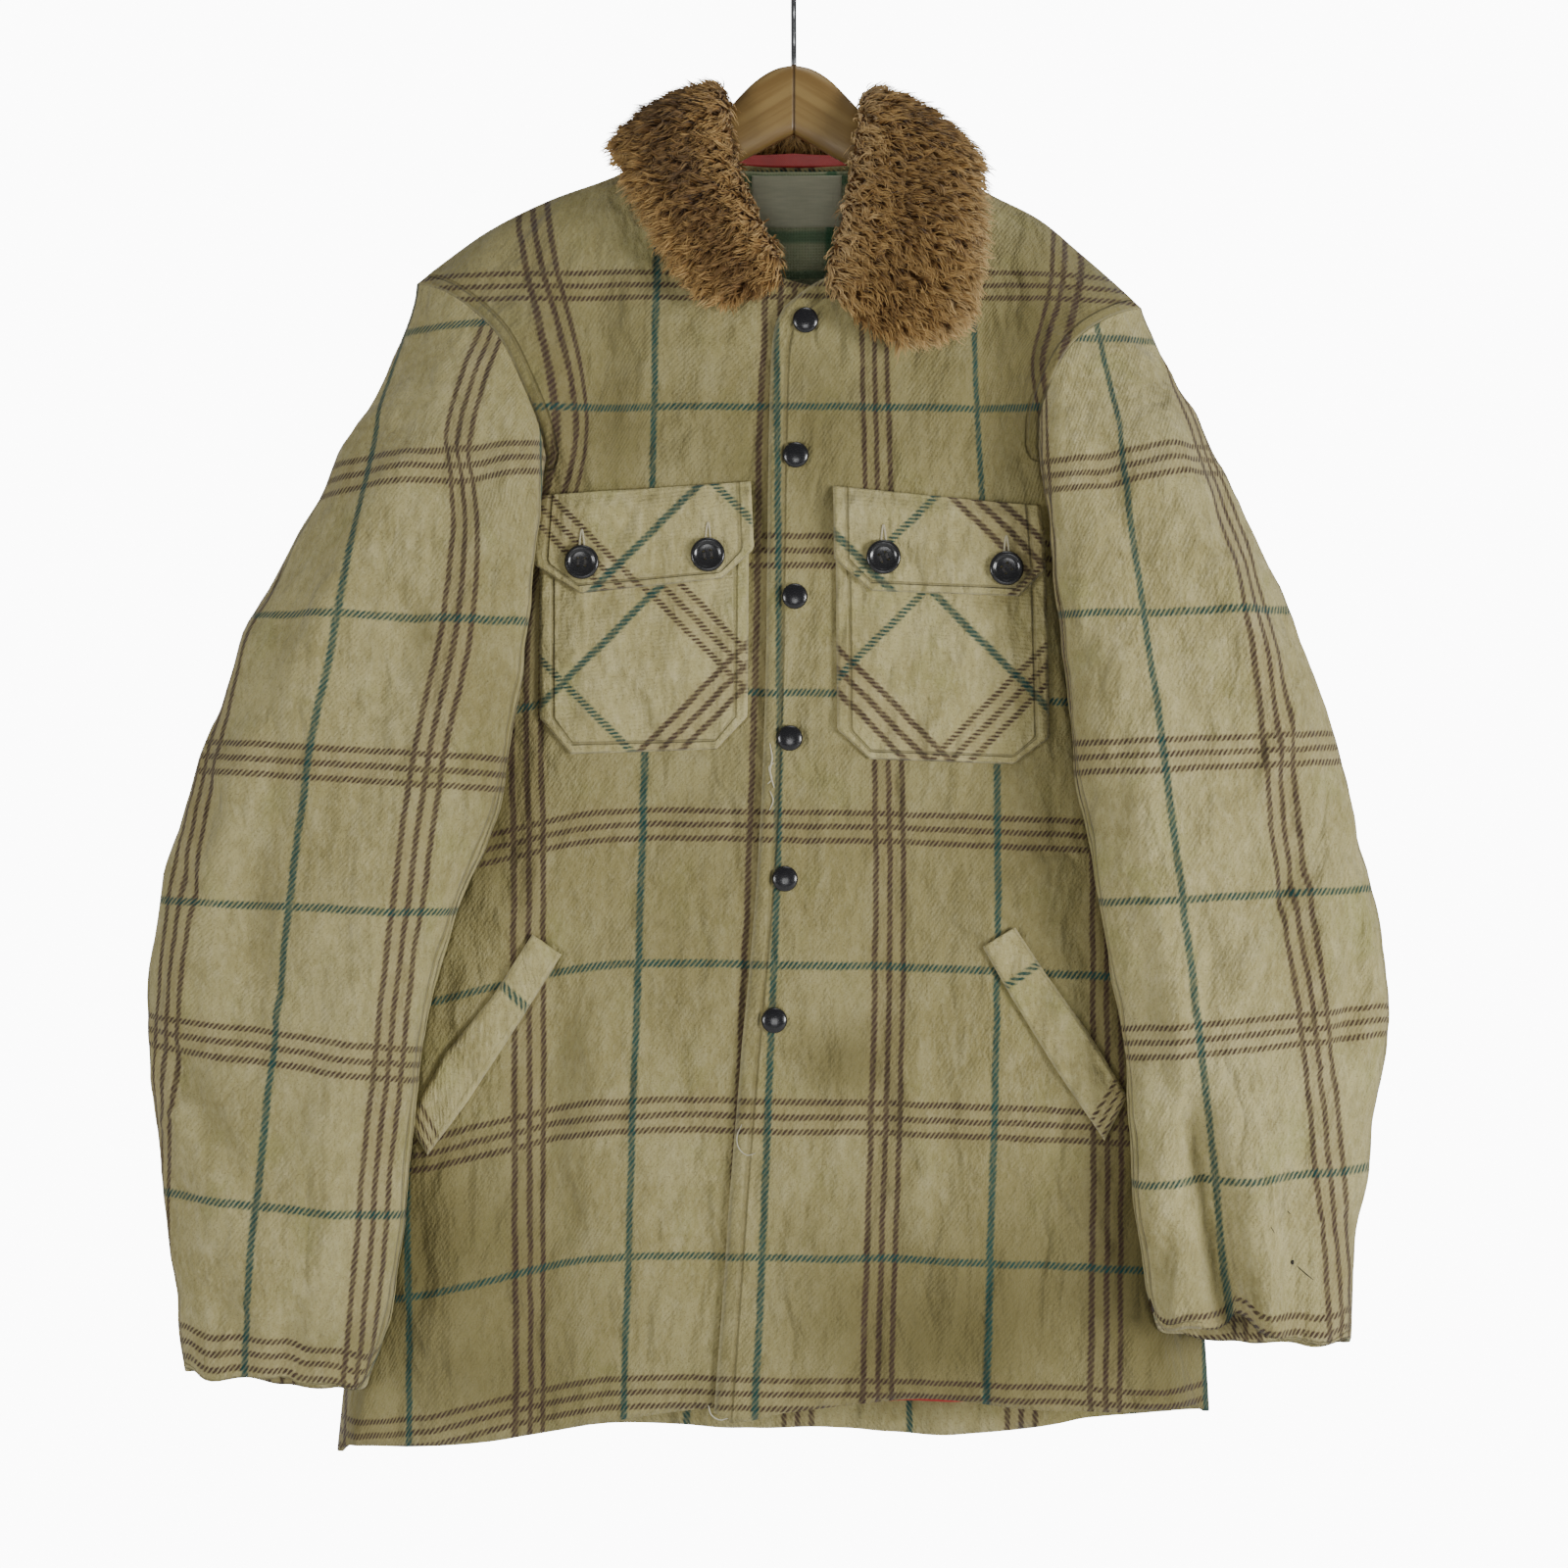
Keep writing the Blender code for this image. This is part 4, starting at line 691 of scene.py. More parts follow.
def makeFront(panel, finish):
    rows = frontRows(panel)
    last = len(rows) - 1
    low = body["lowRows"]
    across = body["panelColumns"]
    side = "left" if panel == "front_left" else "right"
    seam = armholeLine(panel)[body["hiddenRows"]:]
    corner = [(x * mm, z * mm) for x, z in body["neckline"]["left"][:3]]
    spots = {}

    def spot(i, j):
        if (i, j) in spots:
            return spots[i, j]
        middle, outer = rows[j]
        share = spread(i / across, middle[0], outer[0], outer[1], side)
        x, z = between(middle, outer, share)
        if j < low:
            x0, z0 = between(*rows[0], share)
            table = body["hem"][panel]
            x0 = min(max(x0, table["x"][0]), table["x"][-1])
            ends = smooth(0, 0.04, share) * smooth(1, 0.96, share) if side == "right" else smooth(1, 0.96, share)
            z += (read(table, "x", "z", x0) - z0) * (1 - j / low) ** 2 * ends
        blend = ((j - low) / (last - low) - 7 / 12) * 12 / 5
        if blend > 0:
            top = between(*rows[last], share)[1]
            z += (ridge(x) - top) * blend * smooth(0, 0.06, share) * smooth(1, 0.94, share)
        y = frontDepth(x, z, panel)
        if i == across and j <= low:
            y = body["sideDepth"] - body["seam"] / 2
        if j == last:
            y = -body["seam"] / 2
        spots[i, j] = Vector((x, y, z))
        return spots[i, j]

    def edge(i, j):
        p = spot(i, j)
        away = farAway
        if side == "left":
            # the groove lies 9.5 mm inside the placket's edge, and 7 mm beside the armhole's seam
            away = min(away, (p.x - rows[j][0][0]) * 8 / 9.5)
            if p.z > -0.25:
                away = min(away, lineDistance(corner, p.x, p.z) * 8 / 9.5)
        if p.z > -0.34:
            away = min(away, lineDistance(seam, p.x, p.z) * 8 / 7)
        return away

    fabric(panel, across, last, spot, lambda i, j: bodyCloth(panel, spot(i, j).x, spot(i, j).z), edge,
           lambda i, j: shadeAndDirtAt(panel, spot(i, j).x, spot(i, j).z), body["wool"], finish)


def backEdge(x):
    # top edge of the back: the neckline between the neck points, the shoulders beyond them
    half = body["neckHalf"]
    if abs(x) >= half - 0.1 * mm:
        return ridge(x)
    point = ridge(-half) + (ridge(half) - ridge(-half)) * (x / half + 1) / 2
    return point - body["necklineDip"] * (1 - (x / half) ** 2)


def makeBack(finish):
    right = sideLine("back_right") + armholeLine("back_right")[1:]
    left = sideLine("back_left") + armholeLine("back_left")[1:]
    rows = list(zip(right, left))
    last = len(rows) - 1
    low = body["lowRows"]
    columnsEach = body["panelColumns"]
    neckColumns = body["neckColumns"]
    across = 2 * columnsEach + neckColumns
    spots = {}

    def spot(i, j):
        if (i, j) in spots:
            return spots[i, j]
        up = max(0.0, (j - low) / (last - low))
        neck = body["neckHalf"] * (0.55 + 0.45 * up)
        a, b = right[j], left[j]
        if i < columnsEach:
            x = a[0] + (-neck - a[0]) * i / columnsEach
        elif i <= columnsEach + neckColumns:
            x = neck * (2 * (i - columnsEach) / neckColumns - 1)
        else:
            x = neck + (b[0] - neck) * (i - columnsEach - neckColumns) / columnsEach
        share = (x - a[0]) / (b[0] - a[0])
        z = between(a, b, share)[1]
        inner = 0 < i < across
        if j < low and inner:
            x0, z0 = between(*rows[0], share)
            z += (read(body["hem"]["back"], "x", "z", x0) - z0) * (1 - j / low) ** 2
        if j > low and inner:
            z += (backEdge(x) - between(*rows[last], share)[1]) * up ** 1.2
        y = backDepth(x, z)
        if not inner and j <= low:
            y = body["sideDepth"] + body["seam"] / 2
        if j == last:
            y = body["seam"] / 2 if abs(x) >= body["neckHalf"] - 0.1 * mm else max(y, 4 * mm)
        spots[i, j] = Vector((x, y, z))
        return spots[i, j]

    seams = [armholeLine("back_right"), armholeLine("back_left")]

    def edge(i, j):
        p = spot(i, j)
        if p.z < -0.45:
            return farAway
        return min(farAway, *(lineDistance(seam, p.x, p.z) for seam in seams))

    fabric("back", across, last, spot, lambda i, j: bodyCloth("back", spot(i, j).x, spot(i, j).z), edge,
           lambda i, j: shadeAndDirtAt("back", spot(i, j).x, spot(i, j).z), body["wool"], finish, backward)


# Sleeves: outer and inner edges as seen from the front, the depth of both, half the thickness, and
# how the back of the tube lies lower and further out than its edges
sleeve = {
    "rows": 110,
    "form": {
        "right": columns(
            "outer outer_z inner inner_z outer_y inner_y half drop out",
            (253.8, -266, 152.0, -341.5, -12, -56, 30, 136, 75),
            (275.9, -306, 154.3, -371, -30, -60, 33, 125, 58),
            (307.4, -369, 160.2, -417, -40, -62, 34, 100, 32),
            (336.3, -431, 168.0, -461, -45, -62, 34, 76, 12),
            (356.9, -487, 178.1, -508, -46, -61, 34, 52, 0),
            (376.8, -552, 194.8, -567, -46, -60, 34, 30, 0),
            (389.0, -611, 211.7, -620, -46, -58, 34, 14, 0),
            (389.9, -665, 223.1, -674, -46, -56, 33, 6, 0),
            (385.0, -724, 231.0, -730, -45, -54, 32, 3, 0),
            (379.5, -778, 237.2, -784, -43, -52, 30, 4, 0),
            (372.1, -825, 243.4, -834, -42, -50, 28, 8, 0),
            (368.3, -864, 256.7, -873, -42, -48, 26, 10, 0)),
        "left": columns(
            "outer outer_z inner inner_z outer_y inner_y half drop out",
            (232.0, -257, 149.4, -337, -12, -56, 30, 140, 75),
            (248.3, -292, 151.7, -367, -30, -60, 33, 128, 60),
            (269.0, -337, 156.5, -405, -40, -62, 34, 104, 38),
            (290.9, -390, 162.5, -452, -45, -62, 34, 78, 14),
            (313.5, -452, 170.3, -505, -46, -61, 34, 54, 0),
            (331.7, -511, 181.1, -558, -46, -60, 34, 34, 0),
            (347.4, -570, 190.2, -611, -46, -58, 34, 18, 0),
            (356.7, -629, 198.1, -665, -46, -56, 33, 8, 0),
            (357.0, -677, 202.5, -712, -45, -54, 32, 4, 0),
            (348.5, -730, 206.2, -760, -43, -52, 30, 4, 0),
            (340.0, -784, 211.2, -808, -42, -50, 28, 8, 0),
            (337.3, -846, 216.2, -836, -42, -48, 27, 12, 0))},
    # folds: share of the way round from the outer edge over the front, share of the way down, both at
    # each end, half width, and height in mm (+ stands out)
    "folds": {
        "right": [(0.20, 0.10, 0.14, 0.55, 0.035, 7.8), (0.30, 0.06, 0.26, 0.50, 0.030, -6.5),
                  (0.14, 0.30, 0.24, 0.72, 0.030, -6.5), (0.36, 0.40, 0.30, 0.95, 0.030, 5.2),
                  (0.10, 0.66, 0.22, 0.80, 0.030, -6.5), (0.16, 0.86, 0.20, 1.00, 0.030, -6.5),
                  (0.27, 0.88, 0.27, 1.00, 0.022, -5.2), (0.62, 0.12, 0.70, 0.50, 0.035, -6.5),
                  (0.80, 0.20, 0.76, 0.90, 0.040, 6.5), (0.66, 0.60, 0.70, 1.00, 0.030, -6.5)],
        "left": [(0.18, 0.10, 0.14, 0.55, 0.035, 7.8), (0.30, 0.06, 0.24, 0.46, 0.030, -6.5),
                 (0.13, 0.40, 0.22, 0.66, 0.028, -6.5), (0.34, 0.40, 0.36, 0.80, 0.028, 6.5),
                 (0.36, 0.70, 0.284, 1.03, 0.028, -19), (0.26, 0.80, 0.22, 1.02, 0.022, 9.1),
                 (0.10, 0.62, 0.16, 0.76, 0.024, -6.5), (0.64, 0.12, 0.70, 0.50, 0.035, -6.5),
                 (0.80, 0.20, 0.76, 0.90, 0.040, 6.5), (0.66, 0.70, 0.70, 1.00, 0.030, -7.8)]},
    "softFolds": {
        "right": [(0.08, 0.42, 0.22, 0.50, 0.018, 4.1), (0.07, 0.50, 0.26, 0.62, 0.018, -3.7),
                  (0.12, 0.58, 0.30, 0.66, 0.018, 3.7), (0.06, 0.74, 0.20, 0.70, 0.018, 3.7),
                  (0.30, 0.55, 0.24, 0.80, 0.018, -3.1), (0.36, 0.62, 0.30, 0.76, 0.018, 3.4),
                  (0.10, 0.86, 0.24, 0.92, 0.018, 3.4), (0.22, 0.20, 0.34, 0.30, 0.018, 3.1)],
        "left": [(0.08, 0.40, 0.20, 0.48, 0.018, 4.1), (0.07, 0.50, 0.24, 0.60, 0.018, -3.7),
                 (0.14, 0.56, 0.32, 0.66, 0.018, 3.4), (0.06, 0.72, 0.20, 0.74, 0.018, 4.1),
                 (0.36, 0.50, 0.26, 0.70, 0.018, -3.1), (0.10, 0.88, 0.22, 0.90, 0.018, 3.4),
                 (0.38, 0.30, 0.28, 0.40, 0.018, 3.1), (0.34, 0.84, 0.40, 0.98, 0.018, 4.1)]},
    # the cuff's waves, and the notch where a fold runs out: height, and where it is round the arm
    "cuffWave": 7 * mm, "notch": {"right": 3 * mm, "left": 12 * mm}, "notchAround": 0.275, "notchWidth": 0.018,
    # the teal line down the middle of the sleeve, and the lines round it with their slopes
    "teal": {"right": columns("z x", (-861, -329.6), (-744, -318), (-569, -297.5), (-488, -286), (-394, -265.4),
                              (-237, -245)),
             "left": columns("z x", (-820, 259.3), (-744, 250.5), (-581, 230.1), (-406, 206.8), (-237, 186.4))},
    "heights": {"right": {"at": [-0.94, -0.852, -0.7617, -0.6684, -0.5839, -0.4982, -0.4107, -0.3244, -0.2341,
                                 -0.148],
                          "phase": [k / 2 for k in range(10)]},
                "left": {"at": [-0.93, -0.8395, -0.7483, -0.6626, -0.5792, -0.4935, -0.409, -0.3215, -0.2399,
                                -0.153],
                         "phase": [k / 2 for k in range(10)]}},
    "slopeRange": (-0.852, -0.234),
    "slopes": {"right": {"at": [-0.852, -0.762, -0.668, -0.584, -0.498, -0.411, -0.324, -0.234],
                         "slope": [-0.14, -0.09, -0.13, -0.04, -0.06, -0.03, 0.10, 0.06]},
               "left": {"at": [-0.843, -0.748, -0.663, -0.579, -0.494, -0.409, -0.322, -0.240],
                        "slope": [0.02, 0.08, 0.09, 0.05, 0.04, 0.02, 0.13, 0.02]}},
}


def normalOf(surface, x, z, facingSign):
    step = 0.4 * mm
    dx = (surface(x + step, z) - surface(x - step, z)) / (2 * step)
    dz = (surface(x, z + step) - surface(x, z - step)) / (2 * step)
    return Vector((-dx * facingSign, facingSign, -dz * facingSign)).normalized()


def sleeveStart(side):
    # the armhole as one loop: shoulder tip, front, inner fold, underarm, back
    panel = "front_" + side
    front = lambda a, b: frontDepth(a, b, panel)
    ring = [(Vector((x, front(x, z), z)), normalOf(front, x, z, -1)) for x, z in reversed(armholeLine(panel))]
    ring += [(Vector((x, backDepth(x, z), z)), normalOf(backDepth, x, z, 1))
             for x, z in armholeLine("back_" + side)[1:-1]]
    tip = ring[0][0]
    ring[0] = (Vector((tip.x, 0, tip.z)), Vector((math.copysign(0.5, tip.x), 0, 0.85)).normalized())
    under = body["hiddenRows"] + body["capRows"]
    ring[under] = (Vector((ring[under][0].x, body["sideDepth"], ring[under][0].z)),
                   Vector((math.copysign(1, tip.x), 0, -0.6)).normalized())
    return ring


def sleeveSection(side, at):
    # one section of the sleeve's tube, as a function of the angle; at is counted in rows of its table
    table = withRows(sleeve["form"][side])
    sign = -1 if side == "right" else 1
    get = lambda column: read(table, "row", column, at - 1)
    outer = Vector((sign * get("outer"), get("outer_y"), get("outer_z")))
    inner = Vector((sign * get("inner"), get("inner_y"), get("inner_z")))
    half, out, drop = get("half"), get("out"), get("drop")

    def point(angle):
        across = math.copysign(abs(math.sin(angle)) ** 0.85, math.sin(angle))
        middle = (outer + inner) / 2 + (outer - inner) / 2 * math.cos(angle)
        if across >= 0:
            return middle + Vector((0, -half, 0)) * across
        return middle + Vector((sign * out, half, -drop)) * -across
    return point


def sleeveFold(side, around, down):
    # how far the sleeve's folds lift a point; one that runs out at the cuff doesn't fade there
    total = 0.0
    for a0, d0, a1, d1, width, height in sleeve["folds"][side] + sleeve["softFolds"][side]:
        along = (down - d0) / (d1 - d0)
        if not -0.2 < along < 1.2:
            continue
        middle = a0 + (a1 - a0) * along
        ends = smooth(-0.1, 0.3, along) * (1 - smooth(0.75, 1.1, along) * (d1 < 0.99))
        total += height * mm * ends * math.exp(-((around - middle) / width) ** 2)
    return total


def sleeveGrid(side):
    # rows of points down the sleeve, with its creases and without them
    ring = sleeveStart(side)
    cap = body["capRows"]
    backHalf = body["hiddenRows"] + body["backRows"]
    turns = [math.pi * k / cap for k in range(cap)] + [math.pi * (1 + k / backHalf) for k in range(backHalf)]
    last = len(sleeve["form"][side]["outer"])
    rowCount = sleeve["rows"]
    rows = [[p.copy() for p, n in ring]]
    for j in range(1, rowCount + 1):
        at = last * j / rowCount
        blend = 1 - smooth(0, 1.2, at)
        section = sleeveSection(side, max(at, 0.35))
        rows.append([section(a).lerp(p, blend) for (p, n), a in zip(ring, turns)])
    count = len(turns)
    grid = np.array([[tuple(p) for p in row] for row in rows])
    across = np.roll(grid, -1, axis=1) - np.roll(grid, 1, axis=1)
    down = np.gradient(grid, axis=0)
    normals = np.cross(across, down)
    normals /= np.linalg.norm(normals, axis=2, keepdims=True) + 1e-12
    plain = [[p.copy() for p in row] for row in rows]
    half = rowCount // 2
    if np.dot(normals[half][0], grid[half][0] - grid[half].mean(axis=0)) < 0:
        normals = -normals
    for j in range(1, rowCount + 1):
        settle = smooth(0, 0.12, j / rowCount)
        for i in range(count):
            p = rows[j][i]
            lift = sleeveFold(side, turns[i] / (2 * math.pi), j / rowCount)
            lift += crinkle(p.x, p.y, p.z, 1.5) * settle
            rows[j][i] = p + Vector(normals[j][i]) * lift
            cuff = smooth(0.86, 1.0, j / rowCount)
            rows[j][i].z += cuff * noise.noise(Vector((turns[i] * 1.7, 4.0, 0.0))) * sleeve["cuffWave"]
            fromNotch = turns[i] / (2 * math.pi) - sleeve["notchAround"]
            rows[j][i].z += cuff * sleeve["notch"][side] * math.exp(-(fromNotch / sleeve["notchWidth"]) ** 2)
    for i in range(count):
        step = (rows[1][i] - rows[0][i]).normalized()
        rows[0][i] += step * body["seam"]
    return rows, plain


def sleeveCloth(side, rows):
    # cloth coordinates of every point, from the sleeve without its creases: round the arm from the
    # teal line, and up
    cap = body["capRows"]
    line = sleeve["teal"][side]
    heights = sleeve["heights"][side]
    slopes = sleeve["slopes"][side]
    slopeRange = sleeve["slopeRange"]
    sign = 1 if side == "left" else -1
    cloth = []
    anchors = []
    lengthsAll = []
    for row in rows:
        lengths = runningLengths(row)
        gaps = [(p.x - read(line, "z", "x", p.z)) * sign for p in row[:cap + 1]]
        anchor = None
        for i in range(cap):
            if gaps[i] >= 0 > gaps[i + 1]:
                anchor = lengths[i] + (lengths[i + 1] - lengths[i]) * gaps[i] / (gaps[i] - gaps[i + 1])
                break
        anchors.append(anchor)
        lengthsAll.append(lengths)
    known = [j for j, a in enumerate(anchors) if a is not None]
    smoothed = np.interp(range(len(rows)), known, [anchors[j] for j in known])
    smoothed = np.convolve(np.pad(smoothed, 3, mode="edge"), np.ones(7) / 7, mode="valid")
    for row, lengths, anchor in zip(rows, lengthsAll, smoothed):
        centre = read(line, "z", "x", row[cap // 2].z)
        clothRow = []
        for p, s in zip(row, lengths):
            slope = read(slopes, "at", "slope", max(min(p.z, slopeRange[1]), slopeRange[0]))
            z = p.z - slope * (p.x - centre)
            clothRow.append(((anchor - s) * sign, read(heights, "at", "phase", z) * plaid["downRepeat"]))
        cloth.append(clothRow)
    return cloth


def makeSleeve(side, finish):
    rows, plain = sleeveGrid(side)
    cloth = sleeveCloth(side, plain)
    hand = 1 if side == "right" else -1
    cap = body["capRows"]
    count = len(rows[0])      # points round the arm
    halves = {"top": list(range(cap + 1)), "under": list(range(cap, count)) + [0]}
    # the under sleeve is cut on its own straight grain, down its middle
    under = []
    for row in plain:
        lengths = runningLengths([row[k] for k in halves["under"]])
        under.append([hand * (s - lengths[len(lengths) // 2]) + plaid["acrossRepeat"] / 2 for s in lengths])
    for half, order in halves.items():
        name = "sleeve_%s_%s" % (side, half)

        def spot(i, j):
            row = rows[j]
            p = row[order[i]]
            if i == 0:
                return p + (row[order[1]] - p).normalized() * body["seam"] / 2
            if i == len(order) - 1:
                return p + (row[order[-2]] - p).normalized() * body["seam"] / 2
            return p

        def clothAt(i, j):
            u, v = cloth[j][order[i]]
            return (under[j][i] if half == "under" else u), v

        def edge(i, j):
            cuff = (rows[-1][order[i]] - rows[j][order[i]]).length if j > 0.8 * len(rows) else farAway
            seam = spot(0 if i <= len(order) / 2 else len(order) - 1, j)
            return min(farAway, cuff if cuff < 4 * mm else farAway, (spot(i, j) - seam).length + 0.5 * mm)

        centre = sum(rows[len(rows) // 2], Vector()) / count
        probe = rows[len(rows) // 2][order[len(order) // 2]]
        fabric(name, len(order) - 1, len(rows) - 1, spot, clothAt, edge,
               lambda i, j: shadeAndDirtAt(side, spot(i, j).x, spot(i, j).z), body["wool"], finish, probe - centre)


# Pieces laid on the fronts: corners down the left and the right edge in mm, as seen from the front, how far
# they stand off and how thick they are in mm. Pockets and flaps are cut on the bias: across and up say where
# the teal lines stand, in x - z or x + z, and how often they repeat. Welts have theirs along them
laidOn = {
    "pocket_right": {"edges": ([(-154, -349), (-154, -471), (-135, -493)],
                               [(-27, -342), (-28, -470), (-47, -490)]),
                     "across": ("x - z", 0.3104, 0.1994), "up": ("x + z", -0.5894, 0.2374),
                     "lift": 0.6, "thickness": 2.25, "grid": (48, 56)},
    "pocket_left": {"edges": ([(25, -345), (26, -478), (46, -496)], [(152, -357), (155, -483), (133, -499)]),
                    "across": ("x + z", -0.3111, 0.2089), "up": ("x - z", 0.4735, 0.2362),
                    "lift": 0.6, "thickness": 2.25, "grid": (48, 56)},
    "flap_right": {"edges": ([(-155, -336.5), (-158, -378), (-129, -396)],
                             [(-26, -328), (-24, -369), (-44, -387)]),
                   "across": ("x - z", 0.2724, 0.1994), "up": ("x + z", -0.3776, 0.2374),
                   "lift": 4.4, "thickness": 2.5, "grid": (48, 28)},
    "flap_left": {"edges": ([(23.6, -330.7), (24, -375), (47, -394.6)],
                            [(149, -342.6), (152.5, -381), (136, -397.5)]),
                  "across": ("x + z", -0.3354, 0.2148), "up": ("x - z", 0.4225, 0.2362),
                  "lift": 4.4, "thickness": 2.5, "grid": (48, 28)},
    "welt_right": {"edges": ([(-158.4, -602), (-182, -639), (-211, -674), (-234, -716)],
                             [(-140.8, -614.5), (-166, -655), (-198, -704), (-222, -736)]),
                   "along": (0.046, 0.166), "lift": 0.6, "thickness": 2.5, "grid": (10, 60)},
    "welt_left": {"edges": ([(114, -609.6), (131.6, -640), (158, -683), (188, -727)],
                            [(134, -597.7), (152, -625), (178, -661), (202, -700)]),
                  "along": (0.036, 0.164), "lift": 0.6, "thickness": 2.5, "grid": (10, 60)},
}


def fivePoints(reach):
    return (0, 0), (reach, 0), (-reach, 0), (0, reach), (0, -reach)


def alongCorners(corners, share, breaks):
    # a point on an edge whose corners stand at the given shares
    k = 0
    while k < len(breaks) - 2 and share > breaks[k + 1]:
        k += 1
    t = (share - breaks[k]) / (breaks[k + 1] - breaks[k])
    (ax, az), (bx, bz) = corners[k], corners[k + 1]
    return (ax + (bx - ax) * t) * mm, (az + (bz - az) * t) * mm


def laidPoint(name):
    # where a share across and down a laid-on piece lies: on the front, moved out
    piece = laidOn[name]
    left, right = piece["edges"]
    panel = "front_" + name.split("_")[1]
    lengths = [0.0]
    for k in range(len(left) - 1):
        lengths.append(lengths[-1] + math.dist(left[k], left[k + 1]) + math.dist(right[k], right[k + 1]))
    breaks = [length / lengths[-1] for length in lengths]

    def point(s, t):
        lx, lz = alongCorners(left, t, breaks)
        rx, rz = alongCorners(right, t, breaks)
        x = lx + (rx - lx) * s
        z = lz + (rz - lz) * s
        # thick cloth bridges the smallest hollows
        depths = [frontDepth(x + dx, z + dz, panel) for dx, dz in fivePoints(5 * mm)]
        y = min(depths) * 0.5 + sum(depths) / 5 * 0.5
        lift = piece["lift"]
        if name.startswith("flap"):
            # sewn down at the top, and a little loose below, between its buttons
            lift = 0.7 + (lift - 0.7) * smooth(0.0, 0.16, t)
            lift += 1.6 * smooth(0.75, 1.0, t) * math.sin(math.pi * s) ** 2
        if name.startswith("pocket"):
            lift += 1.8 * math.sin(math.pi * s) * math.sin(math.pi * min(1.0, t * 1.05))
        rounded = min(s, 1 - s) * math.hypot(rx - lx, rz - lz)
        below = (1 - t) * lengths[-1] / 2 * mm
        roll = max(0.0, 1 - min(rounded, below) / (2.4 * mm))
        y -= (lift + piece["thickness"] - 0.9 * roll ** 2) * mm
        return Vector((x, y, z))
    return point, lengths[-1] / 2 * mm


def makeLaid(name, finish):
    piece = laidOn[name]
    across, down = piece["grid"]
    point, length = laidPoint(name)
    left, right = piece["edges"]

    def ease(share):
        # columns and rows stand closer together at the rolled edges
        return share - 0.07 * math.sin(2 * math.pi * share)

    spots = {}

    def spot(i, j):
        if (i, j) not in spots:
            spots[i, j] = point(ease(i / across), ease(1 - j / down))
        return spots[i, j]

    def cloth(i, j):
        p = spot(i, j)
        if "along" in piece:
            start, repeat = piece["along"]
            fromTop = (1 - j / down) * length
            return 0.03 + 0.018 * i / across, (fromTop - start) / repeat * plaid["downRepeat"]
        values = {"x - z": p.x - p.z, "x + z": p.x + p.z}
        kind, start, repeat = piece["across"]
        u = (values[kind] - start) / repeat * plaid["acrossRepeat"]
        kind, start, repeat = piece["up"]
        return u, (values[kind] - start) / repeat * plaid["downRepeat"]

    def edge(i, j):
        s = ease(i / across)
        t = ease(1 - j / down)
        width = math.dist(left[0], right[0]) * mm
        sides = min(s, 1 - s) * width
        below = (1 - t) * length
        above = t * length if name.startswith("pocket") else farAway
        away = min(sides, below, above)
        # a welt has no stitched groove, only its rim
        return away if not name.startswith("welt") or away < 3 * mm else farAway

    fabric(name, across, down, spot, cloth, edge, lambda i, j: laidPaintedShade, piece["thickness"] * mm, finish)


def settle(piece, node=None):
    # puts a piece on the jacket, in place of the solid that it stands for
    bpy.context.scene.collection.objects.link(piece)
    if node:
        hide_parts(node)
    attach(piece, "root")
    return piece


def fromShape(name, shape, finish, node=None):
    # a finished bmesh becomes a piece of the jacket
    for face in shape.faces:
        face.smooth = True
    mesh = bpy.data.meshes.new(name)
    shape.to_mesh(mesh)
    shape.free()
    mesh.materials.append(finish)
    return settle(bpy.data.objects.new(name, mesh), node)


def tubeShape(around, along, point):
    # a grid rolled up into a tube, with both ends closed
    shape = bmesh.new()
    bmesh.ops.create_grid(shape, x_segments=around, y_segments=along, size=1)
    places = [(v, round((v.co.x + 1) / 2 * around), round((v.co.y + 1) / 2 * along)) for v in shape.verts]
    for v, i, j in places:
        v.co = point((i % around) / around, j / along)
    bmesh.ops.remove_doubles(shape, verts=shape.verts[:], dist=1e-6)
    bmesh.ops.holes_fill(shape, edges=[e for e in shape.edges if e.is_boundary], sides=0)
    bmesh.ops.recalc_face_normals(shape, faces=shape.faces[:])
    return shape


def surfaceOf(piece):
    # its outer face, for other pieces to sit on
    mesh = bmesh.new()
    mesh.from_mesh(piece.data)
    tree = BVHTree.FromBMesh(mesh)
    mesh.free()
    return tree


def fromFront(tree, x, z):
    # where a straight look from the front meets a piece
    return tree.ray_cast(Vector((x, -0.3, z)), backward)[0]


def seatOn(tree, x, z, reach):
    # the outermost point of a piece round x, z
    hits = [fromFront(tree, x + dx, z + dz) for dx, dz in fivePoints(reach)]
    return min(hit.y for hit in hits if hit is not None)


